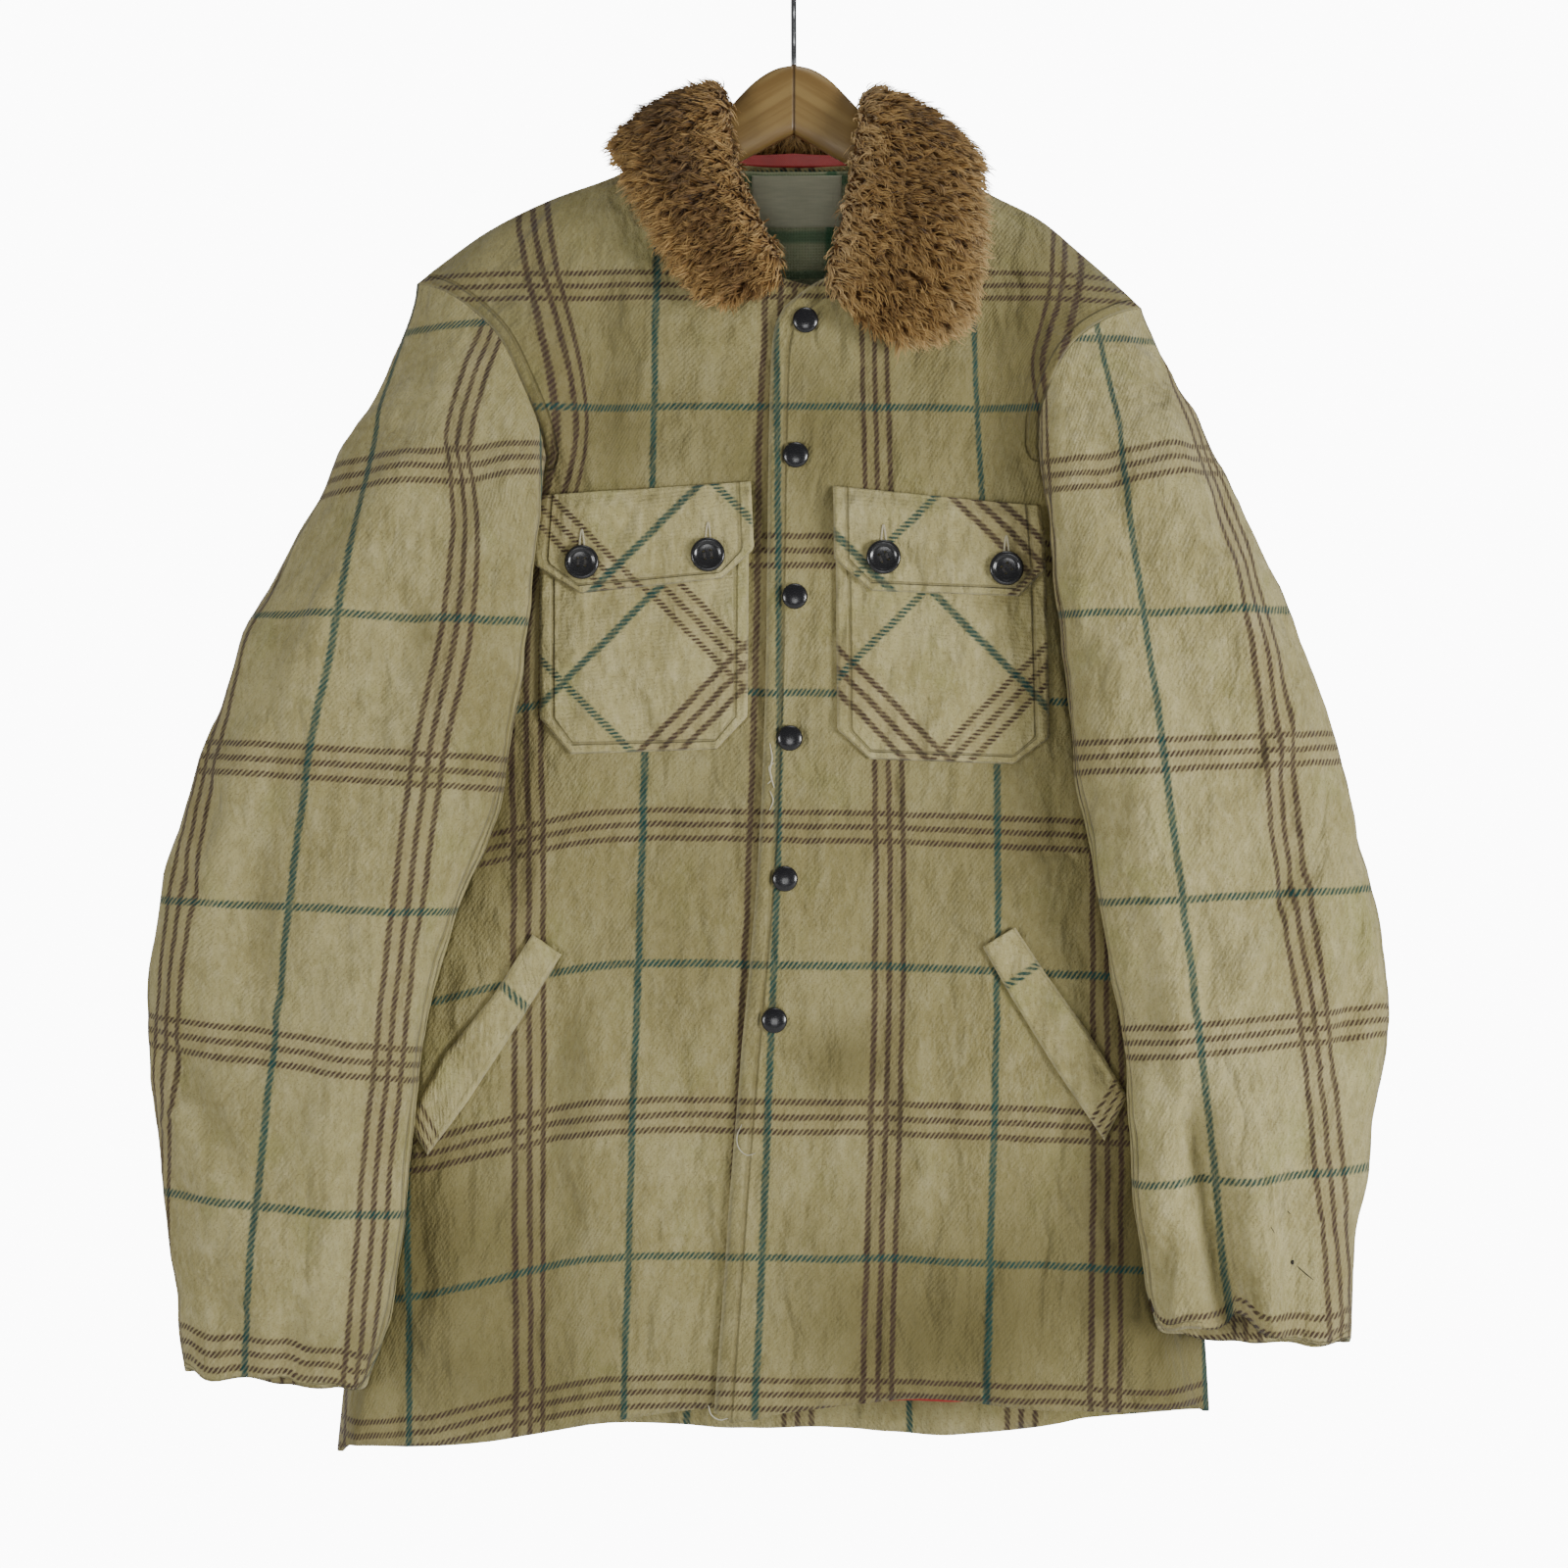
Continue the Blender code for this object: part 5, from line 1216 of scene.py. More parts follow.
# Fur collar: stations from the right front's end round the neck to the left front's end
collar = {
    "stations": columns(
        "in_x in_y in_z out_x out_y out_z bulge",
        (3, -50.5, -206, -44, -50, -229, 0), (-1, -49, -191, -68, -48.5, -209, 1),
        (-12, -46, -171, -86, -46, -181, 3), (-22, -39.5, -148, -101, -36, -154, 5),
        (-29, -29, -120, -111, -21.5, -132, 6), (-33, -22, -92, -113, -12, -123, 6),
        (-37, 2, -78, -112, 8, -122, 6), (-28, 32, -88, -84, 52, -140, 7), (0, 37, -91, 0, 61, -176, 4),
        (28, 32, -89, 84, 52, -146, 7), (38, 3, -78, 116, 8, -133, 6), (34, -24, -93, 119, -14, -137, 6),
        (29, -31, -122, 120, -25, -150, 6), (25, -41, -150, 119, -42, -182, 5),
        (19, -48.5, -176, 116, -51, -212, 3), (13, -51.5, -200, 106, -53.7, -238, 1),
        (14, -52.5, -217, 66, -53, -254, 0)),
    "pile": 22 * mm, "skin": 8 * mm,            # the leather lies this far inside the tips of the pile
    "along": 150, "around": 40, "solidStations": 44,
    "parts": {"right": (0, 0.40), "back": (0.40, 0.58), "left": (0.58, 1)},    # shares of its length
    "strands": 22000, "backStrands": 16500, "hairLength": 0.0128, "hairWidth": 0.00108,
    "clumps": 4600, "gather": 0.46, "curl": 0.0011, "lift": 0.78,
    "taper": (1.0, 1.0, 0.82, 0.55, 0.12),      # widths from root to tip
    "rootColour": (0.085, 0.036, 0.008), "middleColour": (0.27, 0.140, 0.036), "tipColour": (0.53, 0.335, 0.118),
    # the shift below is painted shade on the collar's right part and painted light on its left part
    "sideShadeAndLight": {"right": -0.16, "back": 0.0, "left": 0.20},
    "paleColour": (0.70, 0.52, 0.26), "skinColour": (0.17, 0.085, 0.022),
}


def collarPoint(around, along, inset):
    # a point of the collar at a share round its section and along its length
    table = withRows(collar["stations"])
    at = table["row"][-1] * along
    get = lambda column: read(table, "row", column, at)
    inner = Vector((get("in_x"), get("in_y"), get("in_z")))
    outer = Vector((get("out_x"), get("out_y"), get("out_z")))
    ahead = Vector([sum(read(table, "row", end + c, at + 0.2) - read(table, "row", end + c, at - 0.2)
                        for end in ("in_", "out_")) for c in "xyz"])
    half = (outer - inner) / 2
    away = ahead.cross(half).normalized()
    fromEnd = min(along, 1 - along) * collar["solidStations"]
    size = math.sqrt(max(0.0, 1 - (1 - min(1.0, (fromEnd + 0.25) / 2.6)) ** 2))
    c, s = boxed(2 * math.pi * around, 0.8)
    arch = get("bulge") * (1 - c * c)
    width = max(0.2, 1 - inset / half.length)
    thick = max(1.5 * mm, collar["pile"] / 2 - inset) * size
    middle = (inner + outer) / 2
    shift = ahead.normalized() * (inset * 0.8 * (1 if along < 0.5 else -1) * (1 - min(1.0, fromEnd / 3)))
    return middle + half * c * width * (0.82 + 0.18 * size) + away * (s * thick + arch) + shift


def furLook():
    look = Look("furPile", 0.62, Specular_IOR_Level=0.25, Sheen_Weight=0.15)
    along = look.attribute("along")
    tone = look.attribute("tone")
    colour = look.mix(look.between(along, 0.0, 0.55), collar["rootColour"], collar["middleColour"])
    colour = look.mix(look.between(along, 0.45, 1.0), colour, collar["tipColour"])
    # each clump's random tone, with painted shade along the collar's middle and golden edges
    colour = look.mix(look.between(tone, 0.58, 0.12) * 0.78, colour, collar["rootColour"])
    colour = look.mix(look.between(tone, 0.50, 0.95) * 0.55, colour, collar["paleColour"])
    return look.paint(Base_Color=colour)


def skinLook():
    look = Look("furSkin", 0.9)
    place = look.place()
    colour = look.mix(look.noise(place, 240, 3, 0.6), collar["rootColour"], collar["skinColour"])
    return look.paint(Base_Color=colour, Normal=look.bump(look.noise(place, 600, 2), 0.6, 0.001))


def makeCollar():
    alongCount = collar["along"]
    aroundCount = collar["around"]
    skin = np.array([[collarPoint(i / aroundCount, j / alongCount, collar["skin"]) for i in range(aroundCount)]
                     for j in range(alongCount + 1)])
    shape = tubeShape(aroundCount, alongCount, lambda around, along: Vector(
        skin[round(along * alongCount)][round(around * aroundCount) % aroundCount]))
    fromShape("collar_skin", shape, skinLook(), "collar")
    finish = furLook()
    rng = np.random.default_rng(7)
    # area of every patch of the skin, so that hairs stand evenly
    nextAround = np.roll(skin, -1, axis=1)
    a, b = nextAround[:-1] - skin[:-1], skin[1:] - skin[:-1]
    cross = np.cross(a, b)
    areas = np.linalg.norm(cross, axis=2)
    normals = cross / (areas[..., None] + 1e-12)
    middles = (skin[:-1] + skin[1:] + nextAround[:-1] + nextAround[1:]) / 4
    centres = middles.mean(axis=1, keepdims=True)
    if (normals * (middles - centres)).sum() < 0:
        normals = -normals
    # hair falls from the neck outwards over the collar, and down
    fall = np.stack([skin[:-1, 0] - skin[:-1, aroundCount // 2]] * aroundCount, axis=1)
    fall = fall / (np.linalg.norm(fall, axis=2, keepdims=True) + 1e-12) + np.array([0, 0, -0.55])
    for part, shares in collar["parts"].items():
        start, end = (round(alongCount * share) for share in shares)
        weight = areas[start:end]
        chance = weight.ravel() / weight.sum()
        count = collar["backStrands" if part == "back" else "strands"]
        picked = rng.choice(chance.size, size=count, p=chance)
        row = picked // aroundCount + start
        column = picked % aroundCount
        fu, fv = rng.random(count)[:, None], rng.random(count)[:, None]
        after = (column + 1) % aroundCount
        roots = (skin[row, column] * (1 - fu) * (1 - fv) + skin[row, after] * fu * (1 - fv)
                 + skin[row + 1, column] * (1 - fu) * fv + skin[row + 1, after] * fu * fv)
        normal = normals[row, column]
        down = fall[row, column]
        down = down - normal * (down * normal).sum(axis=1, keepdims=True)
        down /= np.linalg.norm(down, axis=1, keepdims=True) + 1e-12
        sideways = np.cross(normal, down)
        # golden at both edges of the collar, darker along its middle, where painted shade stands for the shadow of
        # its fold
        goldenEdgesShadedMiddle = np.abs(np.cos(2 * math.pi * (column + 0.5) / aroundCount)) ** 1.5
        # painted shade on the right part of the collar, painted light on its left part
        goldenEdgesShadedMiddle = goldenEdgesShadedMiddle + collar["sideShadeAndLight"][part]
        makeHair("collar_fur_" + part, roots, normal, down, sideways, goldenEdgesShadedMiddle, rng, finish)


def makeHair(name, roots, normal, down, sideways, goldenEdgesShadedMiddle, rng, finish):
    # flat tapering hairs that lean, curl and gather in clumps
    count = len(roots)
    seeds = rng.choice(count, size=collar["clumps"], replace=False)
    tree = kdtree.KDTree(len(seeds))
    for k, index in enumerate(seeds):
        tree.insert(roots[index], k)
    tree.balance()
    jitter = roots + rng.normal(0, 0.0011, roots.shape)
    nearest = np.array([tree.find(p)[1] for p in jitter])
    leader = seeds[nearest]
    # every clump has its own lean, curl and tone
    lean = rng.normal(0, 0.60, (len(seeds), 1))
    rise = rng.uniform(0.70, 1.15, (len(seeds), 1))
    phase = rng.uniform(0, 2 * math.pi, (len(seeds), 1))
    turns = rng.uniform(0.7, 1.5, (len(seeds), 1))
    clumpTone = rng.uniform(0.15, 0.85, (len(seeds), 1))
    length = collar["hairLength"] * rng.uniform(0.75, 1.15, (count, 1))
    direction = down[leader] + sideways[leader] * lean[nearest]
    direction /= np.linalg.norm(direction, axis=1, keepdims=True)
    own = rng.normal(0, 0.16, (count, 3))
    steps = len(collar["taper"]) - 1
    levels = np.linspace(0, 1, steps + 1)
    points = []
    for t in levels:
        bend = t ** 1.5
        outward = normal * (length * collar["lift"] * rise[nearest] * (t - 0.30 * t * t))
        along = direction * (length * 0.72 * bend)
        angle = phase[nearest] + turns[nearest] * 2 * math.pi * t
        curl = (sideways * np.cos(angle) + down * np.sin(angle)) * (collar["curl"] * t)
        spots = roots + outward + along + curl + own * length * t * 0.55
        points.append(spots)
    leaders = [p[leader] for p in points]
    points = [p + (q - p) * (collar["gather"] * t ** 1.2) for p, q, t in zip(points, leaders, levels)]
    widths = np.array(collar["taper"]) * collar["hairWidth"] / 2
    across = np.cross(direction, normal) + rng.normal(0, 0.45, (count, 3))
    across /= np.linalg.norm(across, axis=1, keepdims=True)
    shape = bmesh.new()
    # one grid, of which every second column of faces is a hair and the others are taken out
    wide = 2 * count - 1
    bmesh.ops.create_grid(shape, x_segments=wide, y_segments=steps, size=1)
    spare = [face for face in shape.faces if round((face.calc_center_median().x + 1) / 2 * wide - 0.5) % 2 == 1]
    bmesh.ops.delete(shape, geom=spare, context="FACES_ONLY")
    loose = [edge for edge in shape.edges if not edge.link_faces]
    bmesh.ops.delete(shape, geom=loose, context="EDGES")
    mesh = bpy.data.meshes.new(name)
    shape.to_mesh(mesh)
    shape.free()
    grid = np.empty(len(mesh.vertices) * 3, dtype=np.float32)
    mesh.vertices.foreach_get("co", grid)
    grid = grid.reshape(-1, 3)
    columnsAt = np.rint((grid[:, 0].astype(np.float64) + 1) / 2 * wide).astype(int)
    levelAt = np.rint((grid[:, 1] + 1) / 2 * steps).astype(int)
    strand = columnsAt // 2
    side = (columnsAt % 2) * 2 - 1
    stacked = np.stack(points)
    placed = stacked[levelAt, strand] + across[strand] * (side * widths[levelAt])[:, None]
    mesh.vertices.foreach_set("co", placed.astype(np.float32).ravel())
    along = mesh.attributes.new("along", "FLOAT", "POINT")
    along.data.foreach_set("value", (levelAt / steps).astype(np.float32))
    tone = mesh.attributes.new("tone", "FLOAT", "POINT")
    # each clump's random tone, with painted shade along the collar's middle
    own = clumpTone[nearest][:, 0] * 0.34 + rng.uniform(0, 0.20, count) + goldenEdgesShadedMiddle * 0.50
    tone.data.foreach_set("value", own[strand].astype(np.float32))
    mesh.polygons.foreach_set("use_smooth", np.ones(len(mesh.polygons), dtype=bool))
    mesh.update()
    mesh.materials.append(finish)
    settle(bpy.data.objects.new(name, mesh))
    print(name, "hairs", count)


# Buttons and snaps: centre in mm as seen from the front
buttons = {
    "flap": {"flap_button_1": (-128, -377.2), "flap_button_2": (-52, -372.5), "flap_button_3": (54, -374.2),
             "flap_button_4": (128.4, -380.7)},
    "cuff": {"cuff_button_1": -1, "cuff_button_2": -1, "cuff_button_3": 1, "cuff_button_4": 1},
    "radius": 10.4 * mm, "cuffRadius": 9.0 * mm, "holeRadius": 0.95 * mm, "holeApart": 2.1 * mm,
    # the turned outline: share of the radius, height in mm
    "profile": [(0, 0.2), (0.62, 0.2), (0.86, 0.5), (0.975, 1.2), (1, 1.9), (0.985, 2.5), (0.95, 3.0), (0.90, 3.3),
                (0.84, 3.4), (0.78, 3.3), (0.72, 2.95), (0.66, 2.55), (0.56, 2.3), (0.3, 2.2), (0, 2.15)],
    "threadRadius": 0.3 * mm, "threadTop": 2.45 * mm, "threadDip": 1.6 * mm, "threadApart": 0.42 * mm,
    "holeSlot": 22 * mm, "holeAbove": 8.5 * mm, "holeStitch": 0.62 * mm, "holeStitches": 34,
    "colour": (0.012, 0.012, 0.013), "wornColour": (0.10, 0.09, 0.08),
    "cuffColour": (0.030, 0.016, 0.010), "cuffWornColour": (0.14, 0.10, 0.07),
    "threadColour": (0.05, 0.045, 0.04), "paleThread": (0.66, 0.60, 0.40),
}
snaps = {
    "places": {"snap_1": (7, -230.3), "snap_2": (1.1, -311.8), "snap_3": (0.5, -397.5), "snap_4": (-2.5, -483.2),
               "snap_5": (-5.4, -568.3), "snap_6": (-11.9, -654)},
    "profile": [(0, 0), (0.80, 0), (0.93, 0.25), (0.99, 0.7), (1, 1.1), (0.985, 1.6), (0.93, 2.1), (0.84, 2.5),
                (0.70, 2.95), (0.52, 3.3), (0.30, 3.51), (0.12, 3.6), (0, 3.6)],
    "radius": 7.8 * mm, "colour": (0.010, 0.010, 0.012), "wornColour": (0.085, 0.075, 0.07),
}


def lathe(profile, radius, steps=48):
    # turns an outline given as shares of the radius and heights in mm
    shape = bmesh.new()
    spots = [shape.verts.new((share * radius, 0, height * mm)) for share, height in profile]
    lines = [shape.edges.new(pair) for pair in zip(spots, spots[1:])]
    bmesh.ops.spin(shape, geom=spots + lines, cent=(0, 0, 0), axis=(0, 0, 1), angle=2 * math.pi, steps=steps,
                   use_merge=True, use_duplicate=False)
    bmesh.ops.remove_doubles(shape, verts=shape.verts[:], dist=0.005 * mm)
    bmesh.ops.recalc_face_normals(shape, faces=shape.faces[:])
    return shape


def place(shape, axis, spot, roll=0.0):
    # turns a shape made along Z to an axis, and moves it to its place
    turning = Vector((0, 0, 1)).rotation_difference(Vector(axis))
    bmesh.ops.rotate(shape, verts=shape.verts[:], cent=(0, 0, 0), matrix=Matrix.Rotation(roll, 3, "Z"))
    bmesh.ops.rotate(shape, verts=shape.verts[:], cent=(0, 0, 0), matrix=turning.to_matrix())
    bmesh.ops.translate(shape, verts=shape.verts[:], vec=spot)


def plasticLook(name, colour, worn, amount):
    look = Look(name, 0.18, Coat_Weight=0.35, Coat_Roughness=0.12)
    spot = look.place()
    scratches = look.noise(look.stretched(spot, (1, 1, 3.5)), 700, 4, 0.65)
    dust = look.between(look.noise(spot, 1500, 3, 0.7), 0.60, 0.78)
    mixed = look.mix(look.between(scratches, 0.62, 0.80) * amount, colour, worn)
    mixed = look.mix(dust * 0.25, mixed, (0.16, 0.14, 0.11))
    return look.paint(Base_Color=mixed, Roughness=look.between(scratches, 0.35, 0.8, 0.16, 0.42),
                      Normal=look.bump(scratches, 0.12, 0.0003))


def threadLook(name, colour):
    look = Look(name, 0.85, Sheen_Weight=0.2)
    spot = look.place()
    twist = look.noise(spot, 2600, 2, 0.6)
    return look.paint(Base_Color=look.mix(twist, colour, tuple(c * 0.55 for c in colour)),
                      Normal=look.bump(twist, 0.5, 0.0003))


def makeButton(name, radius, axis, spot, finish, thread, roll=0.0):
    apart = buttons["holeApart"]
    disc = fromShape(name, lathe(buttons["profile"], radius), finish, name)
    drill = bmesh.new()
    for sx in (-1, 1):
        for sy in (-1, 1):
            bmesh.ops.create_cone(drill, cap_ends=True, segments=12, radius1=buttons["holeRadius"],
                                  radius2=buttons["holeRadius"], depth=8 * mm,
                                  matrix=Matrix.Translation((sx * apart, sy * apart, 0)))
    bmesh.ops.recalc_face_normals(drill, faces=drill.faces[:])
    cutMesh = bpy.data.meshes.new("drill")
    drill.to_mesh(cutMesh)
    drill.free()
    cutter = bpy.data.objects.new("drill", cutMesh)
    bpy.context.scene.collection.objects.link(cutter)
    holes = disc.modifiers.new("holes", "BOOLEAN")
    holes.operation = "DIFFERENCE"
    holes.object = cutter
    holes.solver = "EXACT"
    bpy.context.view_layer.update()
    drilled = bpy.data.meshes.new_from_object(disc.evaluated_get(bpy.context.evaluated_depsgraph_get()))
    disc.modifiers.clear()
    bpy.data.objects.remove(cutter, do_unlink=True)
    shape = bmesh.new()
    shape.from_mesh(drilled)
    sharp = [edge for edge in shape.edges if len(edge.link_faces) == 2 and edge.calc_face_angle() > 0.9]
    bmesh.ops.split_edges(shape, edges=sharp)
    for face in shape.faces:
        face.smooth = True
    place(shape, axis, spot, roll)
    shape.to_mesh(disc.data)
    shape.free()
    # the thread runs through opposite holes in two bars
    bars = bmesh.new()
    for sx in (-1, 1):
        for k in range(3):
            start = len(bars.verts)
            shift = (k - 1) * buttons["threadApart"]
            bar = bmesh.ops.create_cone(bars, cap_ends=True, segments=8, radius1=buttons["threadRadius"],
                                        radius2=buttons["threadRadius"], depth=2 * apart)
            lengthwise = {e for v in bar["verts"] for e in v.link_edges
                          if abs(e.verts[0].co.z - e.verts[1].co.z) > apart}
            bmesh.ops.subdivide_edges(bars, edges=list(lengthwise), cuts=5)
            bars.verts.ensure_lookup_table()
            for v in bars.verts[start:]:
                height = buttons["threadTop"] - buttons["threadDip"] * abs(v.co.z / apart) ** 4
                v.co = Vector((sx * apart + v.co.x + shift, v.co.z, v.co.y + height))
    place(bars, axis, spot, roll)
    fromShape(name + "_thread", bars, thread)


def makeFastenings(surfaces):
    # flap buttons with their buttonholes, cuff buttons where the solids have them, and snaps
    black = plasticLook("blackPlastic", buttons["colour"], buttons["wornColour"], 0.35)
    brown = plasticLook("brownPlastic", buttons["cuffColour"], buttons["cuffWornColour"], 0.35)
    snapFinish = plasticLook("blackEnamel", snaps["colour"], snaps["wornColour"], 0.5)
    thread = threadLook("buttonThread", buttons["threadColour"])
    pale = threadLook("paleThread", buttons["paleThread"])
    for n, (name, (x, z)) in enumerate(buttons["flap"].items()):
        tree = surfaces["flap_" + sideOf(x)]
        y = seatOn(tree, x * mm, z * mm, buttons["radius"] * 0.8)
        makeButton(name, buttons["radius"], forward, Vector((x * mm, y, z * mm)), black, thread, 0.2 * n)
        makeButtonhole(name + "_hole", tree, x * mm, z * mm, pale)
    for name, sign in buttons["cuff"].items():
        low, high = (Vector(corner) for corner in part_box(name))
        middle = (low + high) / 2
        side = "right" if sign < 0 else "left"
        hits = [surfaces[key].ray_cast(Vector((sign * 0.6, middle.y, middle.z)), Vector((-sign, 0, 0)))[0]
                for key in ("sleeve_%s_top" % side, "sleeve_%s_under" % side)]
        x = max((hit.x * sign for hit in hits if hit is not None), default=abs(middle.x)) * sign
        makeButton(name, buttons["cuffRadius"], (sign, 0, 0.06), Vector((x, middle.y, middle.z)), brown, thread, 0.7)
    for name, (x, z) in snaps["places"].items():
        y = seatOn(surfaces["front_left"], x * mm, z * mm, snaps["radius"] * 0.8)
        shape = lathe(snaps["profile"], snaps["radius"])
        place(shape, forward, Vector((x * mm, y, z * mm)))
        fromShape(name, shape, snapFinish, name)


# Small marks of wear, in mm as seen from the front: what they lie on, how thick they are, and the points
# they run through
wear = {
    "threads": [("front_left", 0.35, (-31.5, -717), (-34.5, -724.6), (-33.3, -731.7), (-28.5, -735.9),
                 (-23.2, -734.7)),
                ("front_left", 0.55, (-14.6, -486), (-13.2, -495.5), (-14.4, -503.3), (-11.9, -513.4)),
                ("front_left", 0.45, (-12.0, -498), (-15.0, -501), (-13.4, -508), (-16.0, -511)),
                ("front_left", 0.4, (-14.5, -515), (-12.6, -521), (-14.8, -527)),
                ("front_left", 0.4, (-52.0, -888), (-50.0, -894), (-45.0, -897), (-40.0, -896))],
    "scratches": [("sleeve_left_top", 0.35, (300.5, -799.0), (305.0, -803.0), (310.5, -807.5)),
                  ("sleeve_left_top", 0.30, (283.0, -774.0), (285.5, -778.0)),
                  ("sleeve_left_top", 0.30, (294.0, -765.5), (296.0, -767.5))],
    "hole": ("sleeve_left_top", 1.5, 297.5, -796.5),
    "threadColour": (0.70, 0.66, 0.48), "scratchColour": (0.035, 0.028, 0.016),
}


missedDepth = -0.05       # where a mark lies if it runs off its piece


def strand(name, tree, thick, line, finish, lift):
    # a thin round thread laid on a piece
    lengths = runningLengths(line)
    table = {"s": lengths, "x": [p[0] * mm for p in line], "z": [p[1] * mm for p in line]}

    def middle(share):
        s = lengths[-1] * share
        x, z = read(table, "s", "x", s), read(table, "s", "z", s)
        hits = [fromFront(tree, x + dx, z) for dx in (0, 4 * mm, 8 * mm)]
        y = next((hit.y for hit in hits if hit), missedDepth)
        return Vector((x, y - lift, z))

    def point(around, along):
        here, ahead = middle(along), middle(min(1.0, along + 0.02)) - middle(max(0.0, along - 0.02))
        side = Vector((ahead.z, 0, -ahead.x)).normalized()
        angle = 2 * math.pi * around
        reach = thick * mm * (0.35 + 0.65 * math.sin(math.pi * along) ** 0.4)
        return here + side * math.cos(angle) * reach + forward * math.sin(angle) * reach

    return fromShape(name, tubeShape(6, 40, point), finish)


def makeWear(surfaces):
    pale = threadLook("frayedThread", wear["threadColour"])
    dark = threadLook("scratchMark", wear["scratchColour"])
    for kind, finish, lift in (("threads", pale, 0.3 * mm), ("scratches", dark, 0.0)):
        for n, (under, thick, *line) in enumerate(wear[kind]):
            strand("%s_%d" % (kind[:-1], n + 1), surfaces[under], thick, line, finish, lift)
    under, radius, x, z = wear["hole"]
    shape = lathe([(0, 0), (1, 0), (0.7, 0.25), (0, 0.12)], radius * mm, 20)
    for v in shape.verts:
        v.co.x *= 0.8 + 0.35 * noise.noise(v.co * 900)
    place(shape, forward, Vector((x * mm, seatOn(surfaces[under], x * mm, z * mm, mm), z * mm)))
    fromShape("moth_hole", shape, dark)


def makeButtonhole(name, tree, x, z, finish):
    # a raised oval of close stitches round a slot, above its button
    top = z + buttons["holeAbove"]
    along, around = 140, 8

    def path(share):
        # narrow above, drawn open by the button below
        angle = 2 * math.pi * share
        c, s = boxed(angle, 0.8)
        return c * (1.5 - 0.75 * math.sin(angle)) * mm, s * buttons["holeSlot"] / 2

    def point(i, j):
        share = j / along
        angle = 2 * math.pi * i / around
        dx, dz = path(share)
        ex, ez = path(share + 0.01)
        run = Vector((ex - dx, 0, ez - dz)).normalized()
        side = Vector((run.z, 0, -run.x))
        hit = fromFront(tree, x + dx, top + dz)
        y = (hit.y if hit else missedDepth) - 0.25 * mm
        reach = buttons["holeStitch"] * (1 + 0.16 * math.sin(share * 2 * math.pi * buttons["holeStitches"]))
        return Vector((x + dx, y, top + dz)) + (side * math.cos(angle) + forward * math.sin(angle)) * reach

    shape = bmesh.new()
    bmesh.ops.create_grid(shape, x_segments=around, y_segments=along, size=1)
    for v in shape.verts:
        v.co = point(round((v.co.x + 1) / 2 * around) % around, round((v.co.y + 1) / 2 * along) % along)
    bmesh.ops.remove_doubles(shape, verts=shape.verts[:], dist=1e-7)
    bmesh.ops.recalc_face_normals(shape, faces=shape.faces[:])
    fromShape(name, shape, finish)


# Neck: facing, label and lining strip inside the back, and the lining that peeks out at the hem
neck = {
    "facingHalf": 58 * mm, "facingZ": (-129.5 * mm, -205 * mm),
    "label": ((-26 * mm, 30 * mm), (-132 * mm, -163 * mm)),
    "bandHalf": 42 * mm, "bandHeight": 9 * mm, "bandGrid": (40, 8),
    "hem": ((20 * mm, 150 * mm), (-820 * mm, -898 * mm)),
    "facingColour": (0.40, 0.46, 0.25), "facingGreen": (0.06, 0.21, 0.10), "facingPale": (0.56, 0.60, 0.40),
    # the facing's green bands, across and up: where, half width, strength
    "greenAcross": [(-134.5, 3.5, 0.75), (-168.5, 4.0, 0.65), (-192, 3.0, 0.6)],
    "greenUp": [(23.5, 4.0, 0.85), (-36, 3.0, 0.6)],
    "labelColour": (0.82, 0.81, 0.60), "labelLine": (0.55, 0.58, 0.40),
    "liningColour": (0.62, 0.022, 0.014), "liningShade": (0.36, 0.010, 0.008),
}


def facingLook():
    look = Look("neckFacing", 0.85, Sheen_Weight=0.15)
    spot = look.place()
    x, z = look.split(spot)[::2]
    wander = (look.noise(spot, 70, 3) - 0.5) * 0.003
    weave = (x * 3500).math("SINE") * 0.5 + (z * 3500).math("SINE") * 0.5
    colour = look.mix(look.noise(spot, 40, 3, 0.6), neck["facingColour"], neck["facingPale"])
    for coordinate, bands, soft in ((z, neck["greenAcross"], 1.3), (x, neck["greenUp"], 1.2)):
        for centre, half, strength in bands:
            away = (coordinate + wander - centre * mm).math("ABSOLUTE")
            band = 1 - look.between(away, half * 0.5 * mm, half * soft * mm)
            colour = look.mix(band * strength, colour, neck["facingGreen"])
    return look.paint(Base_Color=colour, Normal=look.bump(weave + look.noise(spot, 300, 3), 0.4, 0.0006))


def labelLook():
    look = Look("wovenLabel", 0.55, Sheen_Weight=0.1)
    spot = look.place()
    x, z = look.split(spot)[::2]
    weave = (x * 7000).math("SINE") * 0.5 + (z * 9000).math("SINE") * 0.5
    colour = look.mix(look.noise(look.stretched(spot, (0.3, 1, 3)), 260, 3, 0.6), neck["labelColour"],
                      neck["labelLine"])
    border = 1 - look.between((z + 0.1475).math("ABSOLUTE"), 0.0135, 0.0150)
    colour = look.mix((1 - border) * 0.35, colour, neck["labelLine"])
    return look.paint(Base_Color=colour, Normal=look.bump(weave, 0.35, 0.0003))


def liningLook():
    look = Look("redLining", 0.45, Sheen_Weight=0.2)
    spot = look.place()
    x, z = look.split(spot)[::2]
    twill = ((x + z) * 5200).math("SINE")
    colour = look.mix(look.noise(spot, 60, 3), neck["liningColour"], neck["liningShade"])
    return look.paint(Base_Color=colour, Normal=look.bump(twill + look.noise(spot, 200, 3) * 2, 0.3, 0.0005))


